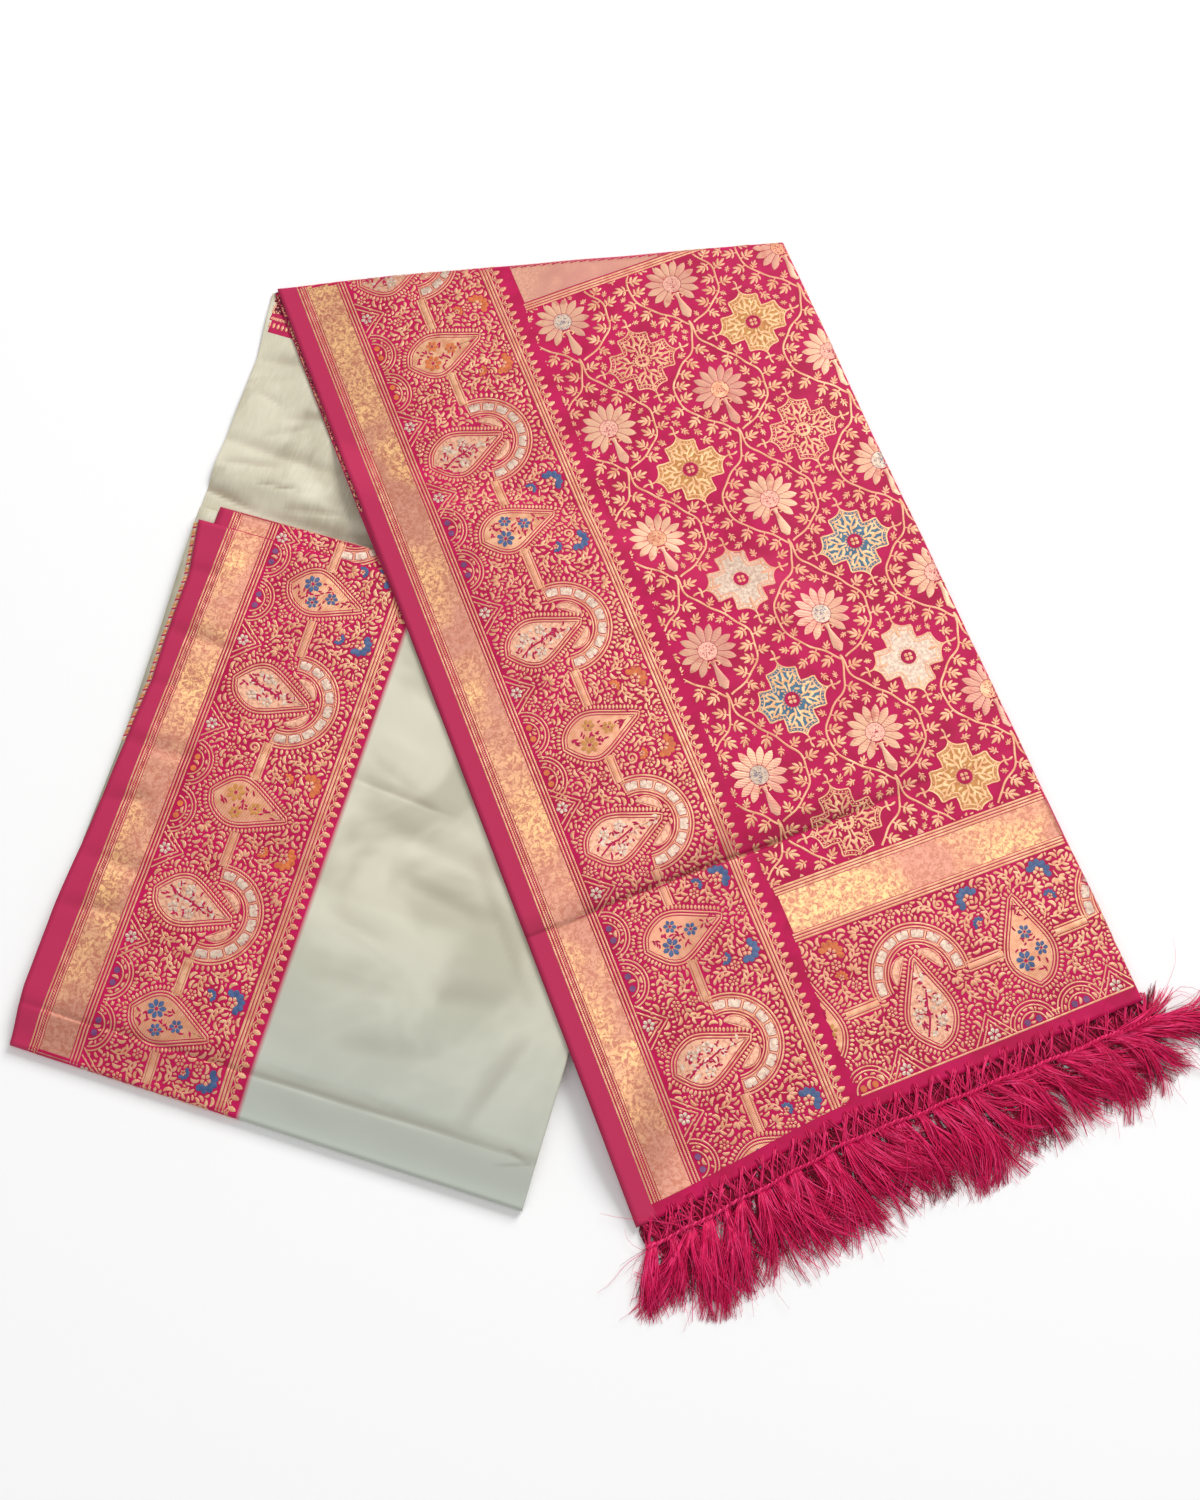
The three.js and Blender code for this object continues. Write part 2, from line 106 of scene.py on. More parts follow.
SECOND_HEIGHT = WALL + GAP
FACE_HEIGHT = 2 * (WALL + GAP)
OVER_BODY = BODY_THICK + GAP
OVER_PACKET = PILE_TOP + FACE_HEIGHT + GAP
FOOT_RADIUS = (PILE_FOOT + FACE_HEIGHT - GAP) / FULL_DROP

# Edges as v against u
FACE_SELVAGE = np.array([
    [0, -3], [60, -9], [150, -10], [230, -6], [310, -4], [400, -1], [450, -4], [520, -5], [590, -18],
])
PILE_EDGE = np.array([
    [0, 2], [150, -4], [210, -8], [340, -8], [400, -11], [465, -14], [552, -20], [610, -22],
])
BODY_EDGE = np.array([[0, 4], [200, 0], [400, -10], [600, -24], [660, -26], [810, -27], [900, -38]])

# Fringe
TASSELS = 29
LOCKS = 6
TASSEL_PITCH = PALLU_WIDTH / TASSELS
NET_DROP = 20
FRINGE_LEVEL = 2.6
UNDER_FRINGE_LEVEL = 0.9
# u, lean from straight down the strip in degrees, length
TASSEL_LAY = np.array([
    [0, -24, 62], [70, -8, 88], [180, 10, 92], [300, 22, 90], [420, 34, 84], [500, 46, 80],
    [540, 64, 74], [562, 96, 70],
])


def unit(vectors):
    """Vectors made one long."""
    return vectors / np.maximum(np.linalg.norm(vectors, axis=-1, keepdims=True), 1e-9)


def left_of(way):
    """Plan vectors turned a quarter to the left."""
    return np.stack([-way[..., 1], way[..., 0]], axis=-1)


def smoothstep(value, low, high):
    """Rises from 0 at low to 1 at high as 3t^2 - 2t^3."""
    share = np.clip((np.asarray(value, float) - low) / (high - low), 0, 1)
    return share * share * (3 - 2 * share)


def read(table, at, column=1):
    """Straight-line reading of a table whose first column rises."""
    return np.interp(at, table[:, 0], table[:, column])


def to_floor(strip, across, along):
    """Plan point of a strip's own point: corner plus the turned offsets."""
    x, y, turn = strip
    return (
        x + across * math.cos(turn) - along * math.sin(turn),
        y + across * math.sin(turn) + along * math.cos(turn),
    )


def from_floor(strip, x, y):
    """A strip's own point under a plan point: the turn undone."""
    dx, dy = x - strip[0], y - strip[1]
    turn = strip[2]
    return (
        dx * math.cos(turn) + dy * math.sin(turn),
        -dx * math.sin(turn) + dy * math.cos(turn),
    )


# Folds

def fold_share(angle):
    """How far over a fold an angle has come, as a share of the full drop."""
    return (1 - np.cos(angle)) / FULL_DROP


def fold_drop(angle, other):
    """Drop for a radius of one where two folds cross: one less the product of what each leaves."""
    return FULL_DROP * (1 - (1 - fold_share(angle)) * (1 - fold_share(other)))


def fold_reach(angle, other):
    """Reach for a radius of one: the sine, which gives way to a steady rise at a crossing."""
    share = fold_share(other)
    return np.sin(angle) * (1 - share) + angle / ROLL_END * share


def creases(table, u, v):
    """Sum of soft troughs. Each falls as a bell across its line, by half widths that may differ
    on its two sides, and dies out at both ends as the root of a half sine."""
    height = np.zeros(np.broadcast(u, v).shape)
    for u0, v0, u1, v1, depth, before, after in table:
        length = math.hypot(u1 - u0, v1 - v0)
        ax, ay = (u1 - u0) / length, (v1 - v0) / length
        along = ((u - u0) * ax + (v - v0) * ay) / length
        off = (v - v0) * ax - (u - u0) * ay
        width = np.where(off < 0, before, after)
        end = np.sqrt(np.sin(np.pi * np.clip(along, 0, 1)))
        height = height - depth * np.exp(-((off / width) ** 2)) * end
    return height


CREASE_FULL = 2.6
CREASE_FAINT = 0.12


def painted_crease_shade(table, u, v):
    """How deep in a crease a place lies, from 0 to 1, for the painted shade that darkens its colour
    there.
    """
    return np.clip(-creases(table, u, v) / CREASE_FULL - CREASE_FAINT, 0, 1)


def ripples(table, u, v):
    """Sum of long low waves, each a height, a wavelength, a direction in degrees and a phase."""
    height = np.zeros(np.broadcast(u, v).shape)
    for size, length, heading, phase in table:
        angle = math.radians(heading)
        way = (u * math.cos(angle) + v * math.sin(angle)) / length
        height = height + size * np.sin(2 * np.pi * way + phase)
    return height


# End piece

TOP_NORMAL = np.array([-PALLU_TOP_SLOPE, 1]) / math.hypot(PALLU_TOP_SLOPE, 1)
# u and v of both ends, depth, half width before and after the line
PALLU_CREASES = [
    (-90, 287, 420, 291, 2.4, 1.2, 2.4), (-90, 290, 460, 294, 1.8, 3.5, 17),
    (240, 290, 640, 292, 0.5, 1.6, 10), (300, 300, 610, 352, 0.7, 5, 8),
    (-40, 150, 300, 168, 0.5, 7, 12), (60, 612, 420, 604, 0.45, 10, 16),
    (20, 904, 300, 886, 0.4, 12, 18),
]
# height, wavelength, direction in degrees, phase
PALLU_RIPPLES = [(0.35, 210, 74, 0.6), (0.28, 133, 12, 2.1), (0.16, 71, 121, 4.0)]


def top_line(u):
    """v of the end piece's slanting top: a straight line that falls to the right."""
    return PALLU_TOP_LEFT + PALLU_TOP_SLOPE * u


def hem_lift(u, v):
    """Rise of the hem towards the right, which dies out up the cloth."""
    return HEM_LIFT * smoothstep(u, 0, HEM_LIFT_WIDTH) * (1 - smoothstep(v, 0, HEM_LIFT_FADE))


def pallu_row(u, row):
    """v of a row: the hem's rise low down, then an even share of the way to the slanting fold."""
    low = row + hem_lift(u, np.maximum(row, 0))
    share = (row - PALLU_STRAIGHT) / (PALLU_TOP_LEFT - PALLU_STRAIGHT)
    high = PALLU_STRAIGHT + share * (top_line(u) - PALLU_TOP_INSET - PALLU_STRAIGHT)
    return np.where(row <= PALLU_STRAIGHT, low, high)


def rest_height(x, y):
    """Clear height under the end piece: the packet, then the stretch below it, then the floor."""
    across, along = from_floor(PACKET_FRAME, x, y)
    over_body = 1 - smoothstep(across - BODY_RIGHT, COVER_MARGIN, COVER_END)
    beside = 1 - smoothstep(across - PACKET_WIDTH, COVER_MARGIN, COVER_END)
    above = 1 - smoothstep(along - SECOND_TOP_ALONG, COVER_MARGIN, COVER_END)
    return np.maximum(OVER_BODY * over_body, OVER_PACKET * beside * above)


def pallu_puff(u, v):
    """Swell of the upper half over the lower one, with its creases and ripples."""
    from_edges = smoothstep(u, 0, PUFF_FROM_SELVAGE) * smoothstep(v, 0, PUFF_FROM_HEM)
    by_fold = FOLD_PUFF * smoothstep(u, FOLD_PUFF_START, PALLU_RIGHT_START)
    puff = PALLU_PUFF * np.maximum(from_edges, by_fold)
    fine = creases(PALLU_CREASES, u, v) + ripples(PALLU_RIPPLES, u, v) * from_edges
    return np.maximum(puff + fine, 0)


def pallu_fold(u, v, turn_u, turn_v, lift):
    """End piece: a flat place lifted to its height, carried turn_u round the right-hand fold and
    turn_v round the slanting one, both with a radius that brings the edge down to the floor."""
    x, y = to_floor(PALLU_FRAME, u, v)
    top = rest_height(x, y) + 2 * WALL + GAP + pallu_puff(u, v)
    radius = (top - GAP) / FULL_DROP + lift
    over = radius * fold_reach(turn_v, turn_u)
    across = u + radius * fold_reach(turn_u, turn_v) + over * TOP_NORMAL[0]
    px, py = to_floor(PALLU_FRAME, across, v + over * TOP_NORMAL[1])
    corner = CORNER_RISE * fold_share(turn_u) * fold_share(turn_v)
    return np.stack([px, py, top + lift + corner - radius * fold_drop(turn_u, turn_v)], axis=-1)


def pallu_surface(u, v, lift):
    """The same surface by lengths over the cloth: what runs past a fold's start turns by length
    over radius."""
    past = np.maximum(v - (top_line(np.minimum(u, PALLU_RIGHT_START)) - PALLU_TOP_INSET), 0)
    over = past * TOP_NORMAL[1]
    flat_u = np.minimum(u, PALLU_RIGHT_START) - over * TOP_NORMAL[0]
    flat_v = v - over * TOP_NORMAL[1]
    x, y = to_floor(PALLU_FRAME, flat_u, flat_v)
    top = rest_height(x, y) + 2 * WALL + GAP + pallu_puff(flat_u, flat_v)
    radius = (top - GAP) / FULL_DROP
    turn_u = np.clip(np.maximum(u - PALLU_RIGHT_START, 0) / radius, 0, ROLL_END)
    turn_v = np.clip(over / radius, 0, ROLL_END)
    return pallu_fold(flat_u, flat_v, turn_u, turn_v, lift)


def under_half_surface(u, v, lift):
    """Lower half of the end piece: the clear height plus one wall."""
    x, y = to_floor(PALLU_FRAME, u, v)
    return np.stack([x, y, rest_height(x, y) + WALL + lift], axis=-1)


# Packet and the stretch below it

FACE_CREASES = [
    (-60, 42, 620, 48, 1.5, 1.8, 4), (-60, 46, 620, 52, 1.3, 3, 10), (250, 330, 470, 300, 1.2, 12, 18),
    (240, 478, 420, 430, 1.1, 10, 20), (250, 150, 500, 196, 1.1, 14, 20), (236, 392, 330, 352, 0.9, 6, 9),
    (226, 361, 352, 350, 1.6, 2.6, 7), (296, 280, 424, 256, 1.3, 9, 12), (380, 320, 486, 186, 1.0, 7, 9),
    (452, 56, 492, 166, 1.4, 8, 14), (492, 32, 532, 45, 1.2, 1.6, 3), (500, 52, 533, 41, 1.0, 1.6, 2.6),
    (250, 226, 330, 206, 1.0, 8, 12), (300, 96, 420, 120, 0.9, 12, 16),
    (252, 306, 340, 290, -0.9, 8, 12), (262, 186, 392, 170, -1.0, 12, 16),
    (244, 412, 306, 396, -0.7, 6, 9),
    (-16, 150, 60, 158, 1.3, 7, 10), (-16, 208, 74, 202, 1.1, 7, 10), (-14, 268, 50, 276, 1.2, 7, 9),
    (-14, 334, 82, 330, 1.3, 7, 11), (-14, 398, 44, 404, 1.0, 7, 9), (-16, 462, 70, 455, 1.3, 7, 10),
    (-18, 530, 40, 534, 1.0, 7, 8), (150, 250, 420, 236, 0.5, 8, 12),
]
FACE_RIPPLES = [(0.4, 160, 81, 1.1), (0.3, 92, 18, 0.4), (0.12, 47, 70, 2.2)]
BACK_CREASES = [
    (-40, 629, 34, 617, 3.4, 2.6, 9), (28, 616, 210, 616, 2.6, 5, 10),
    (24, 648, 80, 651.5, 2.4, 1.4, 1.8),
    (60, 628, 130, 640, 2.0, 3, 6), (-36, 690, 120, 684, 1.7, 5, 12), (120, 670, 300, 700, 1.4, 8, 14),
    (20, 730, 110, 756, 1.5, 5, 10), (-30, 792, 70, 806, 1.4, 5, 12), (60, 820, 180, 800, 1.0, 7, 12),
    (-34, 852, 60, 842, 0.9, 6, 10), (34, 640, 70, 884, 0.8, 4, 6), (-24, 660, 40, 672, 1.6, 2.5, 7),
    (6, 700, 60, 730, 1.0, 3, 6), (-20, 756, 30, 742, 1.2, 3, 8), (80, 660, 60, 760, 0.8, 4, 7),
]
BACK_RIPPLES = [(0.6, 150, 70, 0.2), (0.5, 84, 8, 1.7), (0.25, 43, 133, 3.0)]


def pile_top(v):
    """Height of the hidden folds, thin at the packet's foot."""
    return PILE_FOOT + (PILE_TOP - PILE_FOOT) * smoothstep(v, 6, 50)


def packet_skew(u, v):
    """Shift along the packet: its foot sinks to the right, evenly less up to its top."""
    return BOTTOM_SKEW * (u / PACKET_WIDTH) * (1 - v / SECOND_TOP_ALONG)


def face_fold(u, v, turn_u, turn_v, lift):
    """Top stretch of the packet: lifted onto the pile, carried turn_u round the right-hand fold
    and turn_v round the fold along its foot."""
    fine = creases(FACE_CREASES, u, v) + ripples(FACE_RIPPLES, u, v)
    clear = 1 - smoothstep(u, 380, 480)
    top = pile_top(v) + FACE_HEIGHT + np.maximum(fine * clear * smoothstep(v, 8, 30), -1.2)
    side = SMALL_ROLL + lift
    foot = FOOT_RADIUS + lift
    along = v + packet_skew(u, v) - foot * fold_reach(turn_v, turn_u)
    x, y = to_floor(PACKET_FRAME, u + side * fold_reach(turn_u, turn_v), along)
    foot_drop = foot * (1 - np.cos(turn_v))
    side_drop = side * (1 - np.cos(turn_u)) * (1 - fold_share(turn_v))
    corner = CORNER_RISE * fold_share(turn_u) * fold_share(turn_v)
    return np.stack([x, y, top + lift + corner - foot_drop - side_drop], axis=-1)


def face_surface(u, v, lift):
    """The same surface by lengths over the cloth."""
    right = PACKET_WIDTH - SMALL_ROLL
    turn_u = np.clip(np.maximum(u - right, 0) / SMALL_ROLL, 0, ROLL_END)
    turn_v = np.clip(np.maximum(FOOT_RADIUS - v, 0) / FOOT_RADIUS, 0, ROLL_END)
    return face_fold(np.minimum(u, right), np.maximum(v, FOOT_RADIUS), turn_u, turn_v, lift)


def second_surface(u, v, lift):
    """Second stretch: one layer lower, turned over a small fold at its top edge."""
    start = SECOND_TOP_ALONG - SMALL_ROLL
    turn = np.clip(np.maximum(v - start, 0) / SMALL_ROLL, 0, ROLL_END)
    flat = np.minimum(v, start)
    radius = SMALL_ROLL + lift
    x, y = to_floor(PACKET_FRAME, u, flat + packet_skew(u, flat) + radius * np.sin(turn))
    top = pile_top(flat) + SECOND_HEIGHT
    return np.stack([x, y, top + lift - radius * (1 - np.cos(turn))], axis=-1)


def back_puff(x, y):
    """Ridge and soft lift where the stretch below is pushed up above the packet."""
    along = from_floor(PACKET_FRAME, x, y)[1]
    beyond = -from_floor(PALLU_FRAME, x, y)[0]
    ridge = np.exp(-(((along - 652) / 26) ** 2))
    lift = 0.5 * np.exp(-(((along - 740) / 55) ** 2))
    return BODY_PUFF * (ridge + lift) * smoothstep(along, 621, 646) * smoothstep(beyond, 25, 75)


def back_top(u):
    """v of the stretch's top end, just inside the slanting fold."""
    ends = []
    for across in (0, PALLU_WIDTH):
        x, y = to_floor(PALLU_FRAME, across, top_line(across))
        ends.append(from_floor(PACKET_FRAME, x, y))
    (left, low), (right, high) = ends
    return low + (u - left) / (right - left) * (high - low) - PALLU_TOP_INSET - 1


def back_place(share, row):
    """u and v of a share of the way over the stretch below, at a row that leans over to follow
    the slanting fold."""
    taper = (row - BACK_LEAN_END) / (BACK_END - BACK_LEAN_END)
    right = BODY_RIGHT - BODY_TAPER * np.clip(taper, 0, 1)
    left = read(BODY_EDGE, row)
    u = left + share * (right - left)
    lean = np.clip((row - BACK_START) / (BACK_LEAN_END - BACK_START), 0, 1)
    return u, row + lean * (row / BACK_END * back_top(u) - row)


def back_height(u, v):
    """Upper face of the stretch below: its ridge, creases and ripples where nothing covers it."""
    x, y = to_floor(PACKET_FRAME, u, v)
    fine = creases(BACK_CREASES, u, v) + ripples(BACK_RIPPLES, u, v)
    beyond = -from_floor(PALLU_FRAME, x, y)[0]
    open_part = smoothstep(beyond, 2, 26) * smoothstep(v, 609, 616)
    return np.maximum(BODY_THICK + back_puff(x, y) + fine * open_part, 1.4)


def back_surface(share, row, turn, lift):
    """Stretch below, carried turn round its plain left fold, which is tighter where it lies low."""
    u, v = back_place(share, row)
    top = back_height(u, v)
    radius = (np.minimum(top, BODY_THICK) - GAP) / FULL_DROP + lift
    x, y = to_floor(PACKET_FRAME, u + radius * (1 - np.sin(turn)) * (share == 0), v)
    return np.stack([x, y, top + lift - radius * (1 - np.cos(turn))], axis=-1)


def back_flat(u, v, lift):
    """The same stretch away from its fold, by its own axes."""
    x, y = to_floor(PACKET_FRAME, u, v)
    return np.stack([x, y, back_height(u, v) + lift], axis=-1)


# Meshes

def spread(start, end, step):
    """Evenly spaced places from start to end, about step apart."""
    return np.linspace(start, end, max(2, int(round(abs(end - start) / step)) + 1))


def stops(places, turns_before=(), turns_after=()):
    """Places with no turn, and their first and last place repeated with the turns of a fold."""
    where = np.concatenate([
        np.full(len(turns_before), places[0]), places, np.full(len(turns_after), places[-1]),
    ])
    turn = np.concatenate([turns_before, np.zeros(len(places)), turns_after])
    return where, turn


ROLL = np.linspace(0, ROLL_END, 11)[1:]
SHORT_ROLL = np.linspace(0, ROLL_END, 7)[1:]


def grid_faces(rows, columns, first=0):
    """Four-cornered faces of a grid whose points run row by row, facing up."""
    j, i = np.meshgrid(np.arange(rows - 1), np.arange(columns - 1), indexing="ij")
    a = j * columns + i
    corners = np.stack([a, a + 1, a + 1 + columns, a + columns], axis=-1)
    return first + corners.reshape(-1, 4)


def new_piece(name, points, faces, cloth_uv, bake_uv, material, crease=None):
    """A piece from arrays: points in mm, lists of faces, and per point the place on the cloth in
    mm, its place in the unit square and how deep in a crease it lies, for its painted crease shade."""
    mesh = bpy.data.meshes.new(name)
    mesh.vertices.add(len(points))
    mesh.vertices.foreach_set("co", (points * MM).astype(np.float32).ravel())
    loops = np.concatenate([part.ravel() for part in faces]).astype(np.int32)
    sizes = np.concatenate([np.full(len(part), part.shape[1]) for part in faces])
    mesh.loops.add(len(loops))
    mesh.loops.foreach_set("vertex_index", loops)
    mesh.polygons.add(len(sizes))
    mesh.polygons.foreach_set("loop_start", (np.cumsum(sizes) - sizes).astype(np.int32))
    mesh.update(calc_edges=True)
    mesh.validate()
    for label, uv in (("OFBake", bake_uv), ("cloth", cloth_uv * MM)):
        layer = mesh.uv_layers.new(name=label)
        layer.data.foreach_set("uv", uv[loops].astype(np.float32).ravel())
    if crease is not None:
        mesh.attributes.new("crease", "FLOAT", "POINT").data.foreach_set(
            "value", crease.astype(np.float32).ravel(),
        )
    mesh.shade_smooth()
    mesh.materials.append(material)
    piece = bpy.data.objects.new(name, mesh)
    bpy.context.scene.collection.objects.link(piece)
    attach(piece, "root")
    return piece


def to_unit(uv):
    """Places scaled into the unit square with a small margin."""
    low, high = uv.min(axis=0), uv.max(axis=0)
    return 0.005 + 0.99 * (uv - low) / (high - low)


def add_wall(piece, thickness):
    """Gives a sheet its wall on the side away from its faces."""
    wall = piece.modifiers.new("wall", "SOLIDIFY")
    wall.thickness = thickness * MM
    wall.offset = -1
    wall.use_even_offset = False


def new_sheet(name, points, cloth_uv, thickness, material, crease=None):
    """A cloth from a grid of points."""
    rows, columns = points.shape[:2]
    uv = cloth_uv.reshape(-1, 2)
    piece = new_piece(
        name, points.reshape(-1, 3), [grid_faces(rows, columns)], uv, to_unit(uv), material,
        crease,
    )
    add_wall(piece, thickness)
    return piece


# Materials

def feed(tree, node, values):
    """Sets inputs of a node by name or number: linked where the value is a socket, plain where it
    is a number or a colour."""
    for name, value in values.items():
        if isinstance(value, bpy.types.NodeSocket):
            tree.links.new(value, node.inputs[name])
        else:
            node.inputs[name].default_value = value


def add_node(tree, kind, values=None, **settings):
    """A node whose settings are made first, because they decide which inputs it has."""
    node = tree.nodes.new(kind)
    for name, value in settings.items():
        setattr(node, name, value)
    feed(tree, node, values or {})
    return node


def work(tree, operation, *values):
    """Result of one step of arithmetic on sockets and numbers."""
    return add_node(tree, "ShaderNodeMath", dict(enumerate(values)), operation=operation).outputs[0]


def blend(tree, share, base, tint):
    """A share of a tint over a colour."""
    values = {"Factor": share, "A": base, "B": tint}
    return add_node(tree, "ShaderNodeMix", values, data_type="RGBA").outputs["Result"]


def new_group(name, given, made):
    """An empty node group with its named inputs and outputs, each with its kind."""
    tree = bpy.data.node_groups.new(name, "ShaderNodeTree")
    for way, sockets in (("INPUT", given), ("OUTPUT", made)):
        for label, kind in sockets.items():
            tree.interface.new_socket(label, in_out=way, socket_type="NodeSocket" + kind)
    return tree, add_node(tree, "NodeGroupInput").outputs, add_node(tree, "NodeGroupOutput")


def colour(red, green, blue):
    """Linear colour of a colour given as 0 to 255."""
    share = np.array([red, green, blue]) / 255
    linear = np.where(share <= 0.04045, share / 12.92, ((share + 0.055) / 1.055) ** 2.4)
    return (*linear.tolist(), 1.0)


def weave_group():
    """Threads of a cloth as height and mask: ribs along a slanting line, broken up by a fine
    noise. Slant is how far a rib moves up for each step across."""
    tree, given, made = new_group(
        "cloth_weave",
        {"Place": "Vector", "Ribs per metre": "Float", "Slant": "Float", "Unevenness": "Float"},
        {"Height": "Float", "Streak": "Float"},
    )
    place = given["Place"]
    split = add_node(tree, "ShaderNodeSeparateXYZ", {0: place}).outputs
    across = work(tree, "ADD", split["X"], work(tree, "MULTIPLY", split["Y"], given["Slant"]))
    turns = work(tree, "MULTIPLY", across, given["Ribs per metre"])
    wobble = add_node(tree, "ShaderNodeTexNoise", {"Vector": place, "Scale": 900.0, "Detail": 2.0})
    push = work(tree, "MULTIPLY", wobble.outputs["Fac"], given["Unevenness"])
    angle = work(tree, "ADD", work(tree, "MULTIPLY", turns, 2 * math.pi), push)
    stretch = add_node(tree, "ShaderNodeMapping", {"Vector": place, "Scale": (420.0, 55.0, 1.0)})
    streak = add_node(tree, "ShaderNodeTexNoise", {
        "Vector": stretch.outputs[0], "Scale": 1.0, "Detail": 3.0,
    })
    feed(tree, made, {
        "Height": work(tree, "MULTIPLY_ADD", work(tree, "SINE", angle), 0.5, 0.5),
        "Streak": streak.outputs["Fac"],
    })
    return tree


def tone_group():
    """Two colours mixed by a patchy noise of a given scale and contrast."""
    tree, given, made = new_group(
        "cloth_tone",
        {
            "Place": "Vector", "Light": "Color", "Dark": "Color", "Scale": "Float",
            "Twist": "Float", "Low": "Float", "High": "Float",
        },
        {"Color": "Color"},
    )
    noise = add_node(tree, "ShaderNodeTexNoise", {
        "Vector": given["Place"], "Scale": given["Scale"], "Distortion": given["Twist"],
        "Detail": 3.0, "Roughness": 0.6,
    })
    reach = add_node(tree, "ShaderNodeMapRange", {
        "Value": noise.outputs["Fac"], "From Min": given["Low"], "From Max": given["High"],
    }, interpolation_type="SMOOTHSTEP")
    shade = blend(tree, reach.outputs["Result"], given["Dark"], given["Light"])
    feed(tree, made, {"Color": shade})
    return tree


WEAVE = weave_group()
TONE = tone_group()

# Colours of the silk
MAGENTA = colour(200, 8, 86)
MAGENTA_DARK = colour(180, 6, 70)
ROSE = colour(192, 44, 88)
ROSE_DARK = colour(178, 38, 80)
CREAM = colour(223, 216, 192)
CREAM_DARK = colour(213, 206, 181)
CREAM_SHADE = colour(198, 190, 164)
# Packet's cream, and the painted shade of its large soft patches, which stand for the satin's undulations
PACKET_CREAM = colour(222, 218, 197)
PACKET_SHADE = colour(196, 192, 170)
# Painted shade: the packet's cream greys towards its foot, which tilts away from the light
FOOT_SHADE = colour(190, 195, 185)
# Painted shade, multiplied into the colour as deep as a point lies in a crease
CREASE_SHADE = (0.55, 0.49, 0.46, 1.0)

# Finishes
SILK = {
    "Roughness": 0.55, "Sheen Weight": 0.06, "Sheen Roughness": 0.4, "Specular IOR Level": 0.22,
}
SATIN = {
    "Roughness": 0.38, "Sheen Weight": 0.08, "Sheen Roughness": 0.35, "Specular IOR Level": 0.45,
}
ZARI = {"Metallic": 0.35, "Roughness": 0.42, "Specular IOR Level": 0.4}
STITCH = {"Roughness": 0.5, "Sheen Weight": 0.2, "Sheen Roughness": 0.4}
FLOSS = {"Roughness": 0.42, "Specular IOR Level": 0.26}
MATT = {"Base Color": (1.0, 1.0, 1.0, 1), "Roughness": 0.9, "Specular IOR Level": 0.1}


def new_material(name, finish):
    """A material of a finish, with its node tree and its shader."""
    material = bpy.data.materials.new(name)
    material.use_nodes = True
    principled = material.node_tree.nodes["Principled BSDF"]
    feed(material.node_tree, principled, finish)
    return material, material.node_tree, principled


def cloth_place(tree):
    """Place on the cloth, in metres."""
    return add_node(tree, "ShaderNodeUVMap", uv_map="cloth").outputs["UV"]


def toned(tree, place, light, dark, scale, twist, low, high):
    """Colour where the light and the dark patches of a noise meet."""
    return add_node(tree, "ShaderNodeGroup", {
        "Place": place, "Light": light, "Dark": dark, "Scale": scale, "Twist": twist, "Low": low,
        "High": high,
    }, node_tree=TONE).outputs["Color"]


def cloth_material(name, light, dark, finish, scale=24.0, reach=(0.35, 0.65), twist=0.3,
                   ribs=700.0, slant=1.0, depth=0.00012, streaks=0.0, streak_colour=None,
                   lines=0.0, patches=None):
    """Woven finish: two close colours mixed by a fine noise, the light one giving way to a third in
    larger patches of painted sheen and shade, ribs of thread in relief and in tone, streaks that
    run along the threads, and painted shade multiplied in along creases.
    It returns the material, its tree, the place on the cloth, the colour so far and the socket
    that takes more colour."""
    material, tree, principled = new_material(name, finish)
    place = cloth_place(tree)
    # Painted sheen and shade: large patches of a third colour stand for the light changing over the
    # cloth's undulations
    if patches:
        tint, size, low, high = patches
        light = toned(tree, place, light, tint, size, 0.2, low, high)
    last = toned(tree, place, light, dark, scale, twist, *reach)
    weave = add_node(tree, "ShaderNodeGroup", {
        "Place": place, "Ribs per metre": ribs, "Slant": slant, "Unevenness": 2.0,
    }, node_tree=WEAVE).outputs
    if lines:
        last = blend(tree, work(tree, "MULTIPLY", weave["Height"], lines), last, dark)
    if streaks:
        amount = add_node(tree, "ShaderNodeMapRange", {
            "Value": weave["Streak"], "From Min": 0.45, "From Max": 0.7, "To Max": streaks,
        })
        last = blend(tree, amount.outputs["Result"], last, streak_colour)
    # Painted shade: the colour is multiplied towards CREASE_SHADE by the crease attribute
    pressed = add_node(tree, "ShaderNodeAttribute", attribute_name="crease")
    shade = add_node(tree, "ShaderNodeMix", {
        "Factor": pressed.outputs["Fac"], "A": last, "B": CREASE_SHADE,
    }, data_type="RGBA", blend_type="MULTIPLY")
    bump = add_node(tree, "ShaderNodeBump", {
        "Height": weave["Height"], "Strength": 0.6, "Distance": depth,
    })
    feed(tree, principled, {
        "Base Color": shade.outputs["Result"], "Normal": bump.outputs["Normal"],
    })
    return material, tree, place, last, shade.inputs["A"]


def paint_by_place(tree, place, base, limits, tint, axis="X", soft=0.0008):
    """Mixes tint over a colour where the cloth's u, or v, lies between two limits in metres."""
    where = add_node(tree, "ShaderNodeSeparateXYZ", {0: place}).outputs[axis]
    shares = [
        add_node(tree, "ShaderNodeMapRange", {
            "Value": where, "From Min": limit - soft, "From Max": limit + soft, "To Min": start,
            "To Max": 1.0 - start,
        }).outputs["Result"]
        for limit, start in zip(limits, (0.0, 1.0))
    ]
    return blend(tree, work(tree, "MULTIPLY", *shares), base, tint)


def brocade_silk(name, rose_limits, cream_limits=None):
    """Magenta ground, dusty rose along the selvage, and cream beyond the border, with painted shade in
    large soft patches and towards the packet's foot.
    """
    material, tree, place, last, target = cloth_material(name, MAGENTA, MAGENTA_DARK, SILK)
    last = paint_by_place(tree, place, last, rose_limits, ROSE)
    if cream_limits:
        # Painted shade: large soft patches of darker cream for the satin's undulations
        cream = toned(tree, place, PACKET_CREAM, PACKET_SHADE, 7.0, 0.6, 0.38, 0.6)
        # Painted shade: greyer cream towards the packet's foot
        cream = paint_by_place(tree, place, cream, (-1, 0.13), FOOT_SHADE, axis="Y", soft=0.12)
        last = paint_by_place(tree, place, last, cream_limits, cream, soft=0.0026)
    tree.links.new(last, target)
    return material


